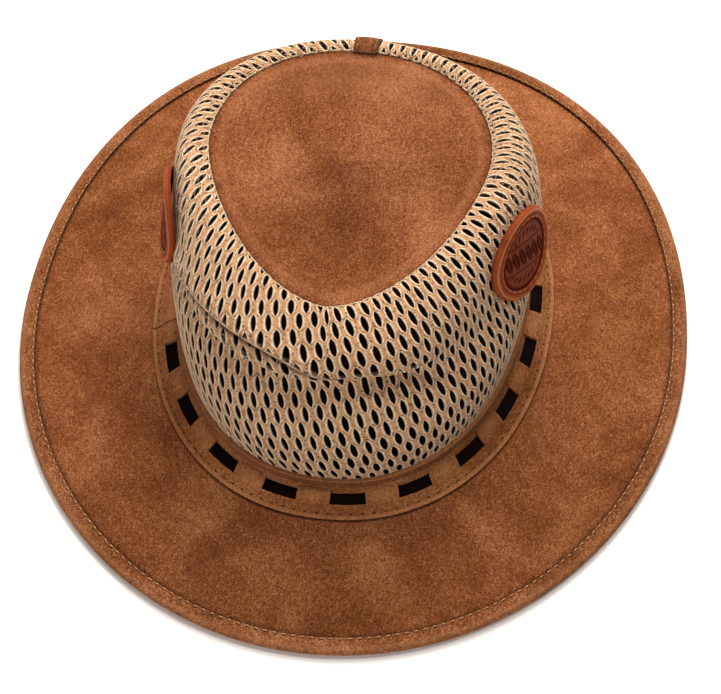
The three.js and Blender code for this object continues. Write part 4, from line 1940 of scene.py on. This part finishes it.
@dataclass
class CrownTop:
    """The dished suede panel on top of the crown."""

    thickness: float = 1.8
    drop: float = 0.2  # its edge below the end of the knit
    floor: float = 98.5
    tilt: float = 0.118  # fall of the dish towards the front
    power: float = 2.5
    radius: float = 60.0  # before it is moved onto the crown's own outline
    rings: int = 46
    around: int = 240
    finish: SuedeFinish = SuedeFinish(
        "top_suede_nap", dark="4f230c", middle="7a4322", light="a46c49", patch=19.0, seed=0.73
    )

    # by the share of the way from its middle to its edge
    PILLOW = Swell(0.9, 0.1, 0.5)
    BROAD_WAVE, EDGE_WAVE = Swell(0, 1, 0.5), Swell(0.6, 0.35, 0.35)
    # painted shade, darker in the middle of the dish and towards the front
    DISH_SHADE = Swell(0, 0.85, 0.26)
    SEAM_SHADE = Rise(0.985, 0.015, 0.5)
    # paler by the seam, and painted light on the back of the top
    SEAM_WEAR, BACK_WEAR = Swell(0.93, 0.05, 0.25), Swell(0.8, 0.25, 0.4)

    def dish(self, share: Array, angle: Array) -> Array:
        """Points of the dish.

        Args:
            share: Shares of the way from its middle to its edge.
            angle: Angles round its middle.

        Returns:
            A point for each.
        """
        row = CROWN.rows[-1]
        edge = CROWN.point(float(CROWN.seam), angle)
        reach = share * (np.hypot(edge[:, 0] - row.shift, edge[:, 1] - row.middle) - 0.1)
        y = row.middle + reach * np.sin(angle)
        plane = self.floor + self.tilt * (y - row.middle)
        rim = self.floor + self.tilt * (edge[:, 1] - row.middle)
        bowl = (edge[:, 2] - self.drop - rim) * share**self.power
        waves = self.BROAD_WAVE(share) * np.sin(2 * angle + 0.8)
        waves += self.EDGE_WAVE(share) * np.sin(5 * angle + 1)
        height = plane + bowl + self.PILLOW(share) + waves
        return np.stack([row.shift + reach * np.cos(angle), y, height], 1)

    def build(self) -> Piece:
        """Makes the panel.

        Returns:
            The piece.
        """
        shares = [1 - (1 - k / self.rings) ** 1.5 for k in range(self.rings + 1)]
        bm = spun([(self.radius * share, 0) for share in shares], self.around, closed=False)
        angle, out, _ = polar(bm)
        share = np.clip(out / self.radius, 0, 1)
        put(bm, self.dish(share, angle))
        bmesh.ops.recalc_face_normals(bm, faces=bm.faces)
        if sum(f.normal.z for f in bm.faces) < 0:
            bmesh.ops.reverse_faces(bm, faces=bm.faces)
        # painted shade in the dish, heavier towards the front
        dish_shade = self.DISH_SHADE(share) * (0.75 - 0.45 * np.sin(angle))
        mark(bm, "shade", self.SEAM_SHADE(share) + dish_shade)
        # paler by the seam, with painted light towards the back
        mark(bm, "wear", self.SEAM_WEAR(share) + self.BACK_WEAR(share) * ramp(np.sin(angle) - 0.3))
        bmesh.ops.solidify(bm, geom=bm.faces, thickness=self.thickness)
        return finish_piece(bm, "suede_top", self.finish.make(), Slot.TOP, ["crown_top"])


@dataclass
class BackStrip:
    """The suede strip over the back seam, with a row of stitches down each edge."""

    width: float = 12.0
    thickness: float = 1.3
    low: float = 1.05  # level of its lower end on the crown wall
    high: float = 10.8
    segments: tuple[int, int] = (12, 110)
    stitch_inset: float = 1.5
    stitch_spacing: float = 3.6
    sunk: float = 0.15  # how deep the stitches sit in the strip
    stitch: Stitching = Stitching(length=2.5, width=0.6, proud=0.2)
    finish: SuedeFinish = SuedeFinish(
        "strip_suede_nap", dark="42200e", middle="683a1f", light="935e3c", seed=0.9
    )
    thread: ThreadFinish = ThreadFinish("strip_thread", "b98457", "6e4325")

    # by the distance from its middle line, as a share of half its width
    ARCH = Swell(0, 1.2, 0.28)
    EDGE_SHADE, SEAM_SHADE = Swell(1, 0.2, 0.5), Swell(0.75, 0.16, 0.3)
    # by that distance in millimetres
    SEAM_DIP = Swell(width / 2 - stitch_inset, 1.2, 0.3)
    WEAR = Swell(-1.6, 1.4, 0.5)

    def place(self, across: Array, level: Array, off: Array) -> Array:
        """Puts points of the strip on the crown wall.

        Args:
            across: Distances from its middle line.
            level: Levels on the crown wall.
            off: Distances off the wall.

        Returns:
            The points.
        """
        back = np.full_like(level, math.pi / 2)
        reach = CROWN.point(level, back)[:, 1] - CROWN.section(level).middle
        return CROWN.off(level, back + across / reach, off)

    def leather(self) -> Piece:
        """The strip of suede.

        Returns:
            The piece.
        """
        bm = bmesh.new()
        columns, rows = self.segments
        bmesh.ops.create_grid(bm, x_segments=columns, y_segments=rows, size=0.5)
        bmesh.ops.solidify(bm, geom=bm.faces, thickness=-1.0)
        bmesh.ops.recalc_face_normals(bm, faces=bm.faces)
        x, y, z = places(bm).T
        across = x * self.width
        side = np.abs(across) / (self.width / 2)
        arch = self.ARCH(side) - self.SEAM_DIP(np.abs(across))
        off = np.where(z > z.mean(), CLEARANCE + self.thickness + arch, CLEARANCE)
        mark(bm, "shade", self.EDGE_SHADE(side) + self.SEAM_SHADE(side))
        mark(bm, "wear", self.WEAR(across))
        put(bm, self.place(across, self.low + (self.high - self.low) * (y + 0.5), off))
        bmesh.ops.recalc_face_normals(bm, faces=bm.faces)
        return finish_piece(bm, "seam_strip", self.finish.make(), Slot.TOP, ["back_strip"])

    def sewing(self) -> Piece:
        """Stitches down both edges of the strip.

        Returns:
            The piece.
        """
        seats = []
        proud = CLEARANCE + self.thickness - self.sunk
        levels = np.linspace(self.low + 0.05, self.high - 0.05, 400)
        for side in (-1, 1):
            across = np.full_like(levels, side * (self.width / 2 - self.stitch_inset))
            line, above = (self.place(across, levels, np.full_like(levels, proud + up)) for up in (0, 1))
            walked = walk(line)
            for distance in np.arange(2.0, walked[-1] - 1, self.stitch_spacing):
                k = int(np.searchsorted(walked, distance))
                seats.append(upright(line[k], line[k] - line[k - 1], above[k] - line[k]))
        return finish_piece(self.stitch.sew(seats), "strip_stitches", self.thread.make(), Slot.TOP)

    def build(self) -> None:
        """Makes the strip's pieces."""
        self.leather()
        self.sewing()


# ---- Badges ---------------------------------------------------------------------------------


@dataclass
class Badge:
    """A stiff leather disc: a rolled border round a sunken field tooled with leaves and rope."""

    side: str
    angle: float  # where around the crown it sits, in degrees
    height: float
    facing: float  # where it looks, in degrees
    lean: float  # how far it looks up, in degrees
    bend: float  # radius of its slight curve round the crown
    seat: float  # its underside's distance off the crown wall
    radius: float = 23.0
    thickness: float = 2.6
    leaf: float = 5.4  # spacing of the leaves tooled across its middle
    leaf_reach: float = 5.6  # half their length
    twist: float = 0.35
    around: int = 192
    rings: int = 60

    # by the distance from its middle: the plain relief, the ridge between two grooves, its shade
    # and painted highlights, where the field's tooling ends and where the border's colour starts
    RELIEF = (
        Swell(21.2, 1.5, 0.35), Swell(20, 2.4, 0.2), Swell(17.1, 0.8, -0.6),
        Swell(19.3, 0.6, -0.35), Rise(17.2, -0.7, -0.35),
    )
    RIDGE, RIDGE_WEAR = Swell(18.3, 0.8, 0.4), Swell(18.3, 0.5, 0.8)
    GROOVE_SHADES = (Swell(17.1, 0.9, 0.95), Swell(19.3, 0.5, 0.5))
    BORDER_HIGHLIGHT = Swell(21.5, 0.7, 0.6)
    FIELD, FIELD_END = 15.4, Rise(15.4, 0.5)
    BORDER = Rise(17.4, 0.8)
    ROPE = Swell(12.6, 2.4)
    # by the height above its middle line, or below it
    RULES, ROPE_START = Swell(7.0, 0.55), Rise(7.8, 0.6)
    # by the distance from a leaf's middle or edge, and by the rope's wave
    LEAF_VEIN, LEAF_EDGE = Rise(0.1, 0.25), Rise(0, 0.4)
    ROPE_STRAND = Rise(0, 0.6)

    def axes(self) -> tuple[Array, Array, Array, Array]:
        """The badge's middle on the crown wall, and its directions across, up and out.

        Returns:
            The middle and the three directions.
        """
        facing_angle, lean, angle = (math.radians(x) for x in (self.facing, self.lean, self.angle))
        level_out = np.array((math.cos(facing_angle), math.sin(facing_angle), 0))
        out = level_out * math.cos(lean) + np.array((0, 0, math.sin(lean)))
        across = np.cross((0, 0, 1), out)
        across /= np.linalg.norm(across)
        levels = np.linspace(0, CROWN.seam - 1, 2001)
        level = np.interp(self.height, CROWN.point(levels, angle)[:, 2], levels)
        return CROWN.point(level, angle), across, np.cross(out, across), out

    def leaves(self, across: Array, up: Array) -> Array:
        """Where the row of leaves is pressed in.

        Args:
            across: Distances right of the badge's middle.
            up: Distances above it.

        Returns:
            1 in a leaf and 0 outside.
        """
        spot = across / self.leaf + 0.09 * up
        aside = np.abs(spot - np.floor(spot) - 0.5) * self.leaf
        wide = 2.3 * (1 - (np.clip(up, -self.leaf_reach, self.leaf_reach) / self.leaf_reach) ** 2)
        inside = (1 - self.LEAF_EDGE(aside - wide)) * (np.abs(up) < self.leaf_reach)
        return inside * self.LEAF_VEIN(aside)

    def tooling(self, radius: Array, angle: Array) -> tuple[Array, Array, Array]:
        """Tools the badge's face.

        Args:
            radius: Distances from its middle.
            angle: Angles round its middle.

        Returns:
            Height of the face, its dark hollows, and its painted highlights with a slightly paler untooled
            ground.
        """
        turned = angle + self.twist
        across, up = radius * np.cos(turned), radius * np.sin(turned)
        level = np.abs(up)
        rope = self.ROPE_STRAND(np.sin(22 * turned + 0.9 * radius))
        rope = rope * self.ROPE(radius) * self.ROPE_START(level)
        pressed = np.maximum(np.maximum(self.leaves(across, up), rope), self.RULES(level))
        pressed = pressed * (1 - self.FIELD_END(radius))
        dash = 0.5 + 0.5 * np.sin(26 * angle + 0.8)
        edge = -0.8 * Rise(self.radius - 1, 1)(radius) ** 2
        ridge = self.RIDGE(radius) * (0.6 + 0.4 * dash)
        height = self.thickness + edge + ridge + sum(ring(radius) for ring in self.RELIEF)
        dark = sum(ring(radius) for ring in self.GROOVE_SHADES) + 0.9 * pressed
        # painted highlights on the border and the dashed ridge
        lit = self.BORDER_HIGHLIGHT(radius) + self.RIDGE_WEAR(radius) * dash**2
        lit = lit + 0.1 * (1 - pressed) * (radius < self.FIELD)
        return height - 0.4 * pressed, np.clip(dark, 0, 1), np.clip(lit, 0, 1)

    def build(self, finish: Material) -> Piece:
        """Makes the badge.

        Args:
            finish: The material of both badges.

        Returns:
            The badge.
        """
        reaches = [self.radius * (1 - (1 - k / self.rings) ** 1.1) for k in range(self.rings + 1)]
        face = [(reach, 1.0) for reach in reaches]
        edge = [(self.radius, 0.45), (self.radius - 0.3, 0.0), (self.radius * 0.6, 0.0), (0.0, 0.0)]
        bm = spun(face + edge, self.around, closed=False)
        angle, radius, level = polar(bm)
        tooled, shade, wear = self.tooling(radius, angle)
        on_face = level > 0.9
        height = np.where(on_face, tooled, np.where(level > 0.2, 1.1, 0.0))
        mark(bm, "shade", np.where(on_face, shade, 0.5))
        mark(bm, "wear", np.where(on_face, wear, 0))
        mark(bm, "border", self.BORDER(radius))
        middle, across, up, out = self.axes()
        aside, above = radius * np.cos(angle), radius * np.sin(angle)
        rise = self.seat + height - aside**2 / (2 * self.bend)
        put(bm, middle + aside[:, None] * across + above[:, None] * up + rise[:, None] * out)
        bmesh.ops.recalc_face_normals(bm, faces=bm.faces)
        name, node = f"leather_badge_{self.side}", f"badge_{self.side}"
        return finish_piece(bm, name, finish, Slot.BADGE, [node], crisp=60)


# ---- Studio ---------------------------------------------------------------------------------


class Light(NamedTuple):
    """A square soft light: what it points at, the length of its side, its power in watts."""

    name: str
    place: tuple[float, float, float]
    aim: tuple[float, float, float]
    size: float
    power: float
    tint: Colour

    def hang(self) -> None:
        """Puts it into the scene."""
        data = bpy.data.lights.new(self.name, "AREA")
        data.shape = "SQUARE"
        data.size = self.size
        data.energy = self.power
        data.color = self.tint
        lamp = bpy.data.objects.new(self.name, data)
        lamp.location = self.place
        lamp.rotation_mode = "QUATERNION"
        lamp.rotation_quaternion = (Vector(self.aim) - Vector(self.place)).to_track_quat("-Z", "Y")
        bpy.context.scene.collection.objects.link(lamp)


@dataclass
class Studio:
    """Pale floor, soft lights and the camera, in metres and degrees."""

    eye: tuple[float, float, float] = (0.07126, -0.46607, 0.67322)
    azimuth: float = 8.369
    elevation: float = 56.263
    roll: float = -1.054
    lens: float = 79.41
    sensor: float = 36.0
    room: float = 4.0  # radius of the floor
    opening: float = 0.125  # radius of its opening under the crown
    floor_level: float = -0.0004
    # height of the dark sheet under the crown, painted shade standing in for the shadow inside it
    shade_sheet_level: float = -0.03
    sky_light: float = 0.2
    sky_tint: Colour = (1.0, 0.985, 0.965)
    lights: tuple[Light, ...] = (
        Light("key", (-0.1, 0.55, 1.75), (0, 0, 0.03), 0.8, 11.5, (1, 0.97, 0.93)),
        Light("lamp", (0.72, 0.3, 1.7), (0, 0, 0.03), 0.09, 7.5, (1, 0.965, 0.94)),
        Light("back", (0.02, 0.46, 0.66), (0, 0.05, 0.03), 0.4, 7.2, (1, 0.95, 0.89)),
        Light("fill", (-0.4, -1.0, 0.42), (0, 0, 0.05), 0.7, 4.8, (1, 0.94, 0.88)),
    )
    floor_finish: PlainFinish = PlainFinish("pale_floor", "fbfaf8", "f1efec", 3.0, 0.12, 0.9, 0.1)
    # the dark sheet under the crown's opening: painted shade standing in for the shadow inside the crown
    shade_sheet_finish: PlainFinish = PlainFinish("painted_shade_sheet", "2c1208", "0e0402", 300.0, 0.5, 0.95, 0.05)

    def floor(self) -> None:
        """A wide floor just under the brim, open under the crown over a dark sheet that stands in for the
        shade inside the crown.
        """
        bm = bmesh.new()
        bmesh.ops.create_circle(bm, cap_ends=False, segments=96, radius=self.opening)
        outer = only(bmesh.types.BMVert, bmesh.ops.extrude_edge_only(bm, edges=bm.edges)["geom"])
        bmesh.ops.scale(bm, vec=(self.room / self.opening,) * 3, verts=outer)
        bmesh.ops.recalc_face_normals(bm, faces=bm.faces)
        self.stage(bm, "floor", self.floor_finish.make(), self.floor_level)
        bm = bmesh.new()
        bmesh.ops.create_circle(bm, cap_ends=True, segments=96, radius=self.opening * 1.6)
        self.stage(bm, "shade_sheet", self.shade_sheet_finish.make(), self.shade_sheet_level)

    @staticmethod
    def stage(bm: BMesh, name: str, finish: Material, height: float) -> None:
        """Sets up one piece of the studio at a height.

        Args:
            bm: The piece.
            name: Its name.
            finish: Its material.
            height: The height.
        """
        bmesh.ops.translate(bm, vec=(0, 0, height), verts=bm.verts)
        prop = put_in_scene(bm, name, finish)

    def camera(self) -> None:
        """The camera, with its roll."""
        az, el, roll = (math.radians(x) for x in (self.azimuth, self.elevation, self.roll))
        back = Vector((math.sin(az) * math.cos(el), -math.cos(az) * math.cos(el), math.sin(el)))
        level = Vector((math.cos(az), math.sin(az), 0))
        above = back.cross(level)
        right = level * math.cos(roll) + above * math.sin(roll)
        up = above * math.cos(roll) - level * math.sin(roll)
        data = bpy.data.cameras.new("camera")
        data.lens = self.lens
        data.sensor_width = self.sensor
        data.clip_start = 0.01
        data.clip_end = 50
        camera = bpy.data.objects.new("camera", data)
        turn = Matrix((right, up, back)).transposed()
        camera.matrix_world = Matrix.Translation(self.eye) @ turn.to_4x4()
        bpy.context.scene.collection.objects.link(camera)
        bpy.context.scene.camera = camera

    def sky(self) -> None:
        """Even pale light from all round."""
        world = bpy.data.worlds.new("studio")
        world.use_nodes = True
        background = world.node_tree.nodes["Background"]
        background.inputs["Color"].default_value = (*self.sky_tint, 1)
        background.inputs["Strength"].default_value = self.sky_light
        bpy.context.scene.world = world

    def build(self) -> None:
        """Sets the studio up."""
        self.camera()
        self.floor()
        bpy.context.scene.view_settings.view_transform = "Standard"
        self.sky()
        for light in self.lights:
            light.hang()


def main() -> None:
    """Builds the hat and its studio."""
    logging.basicConfig(level=logging.INFO, format="%(name)s %(message)s")
    Studio().build()
    Brim().build()
    HatBand().build()
    KnitWall().build()
    CrownTop().build()
    BackStrip().build()
    leather = BadgeFinish("tooled_badge_leather").make()
    right = Badge("right", angle=342, height=87.5, facing=334, lean=14, bend=100, seat=3.0)
    left = Badge("left", angle=194.4, height=84.5, facing=192, lean=9, bend=88, seat=2.4)
    for badge in (right, left):
        badge.build(leather)
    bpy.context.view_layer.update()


if __name__ == "__main__":
    main()
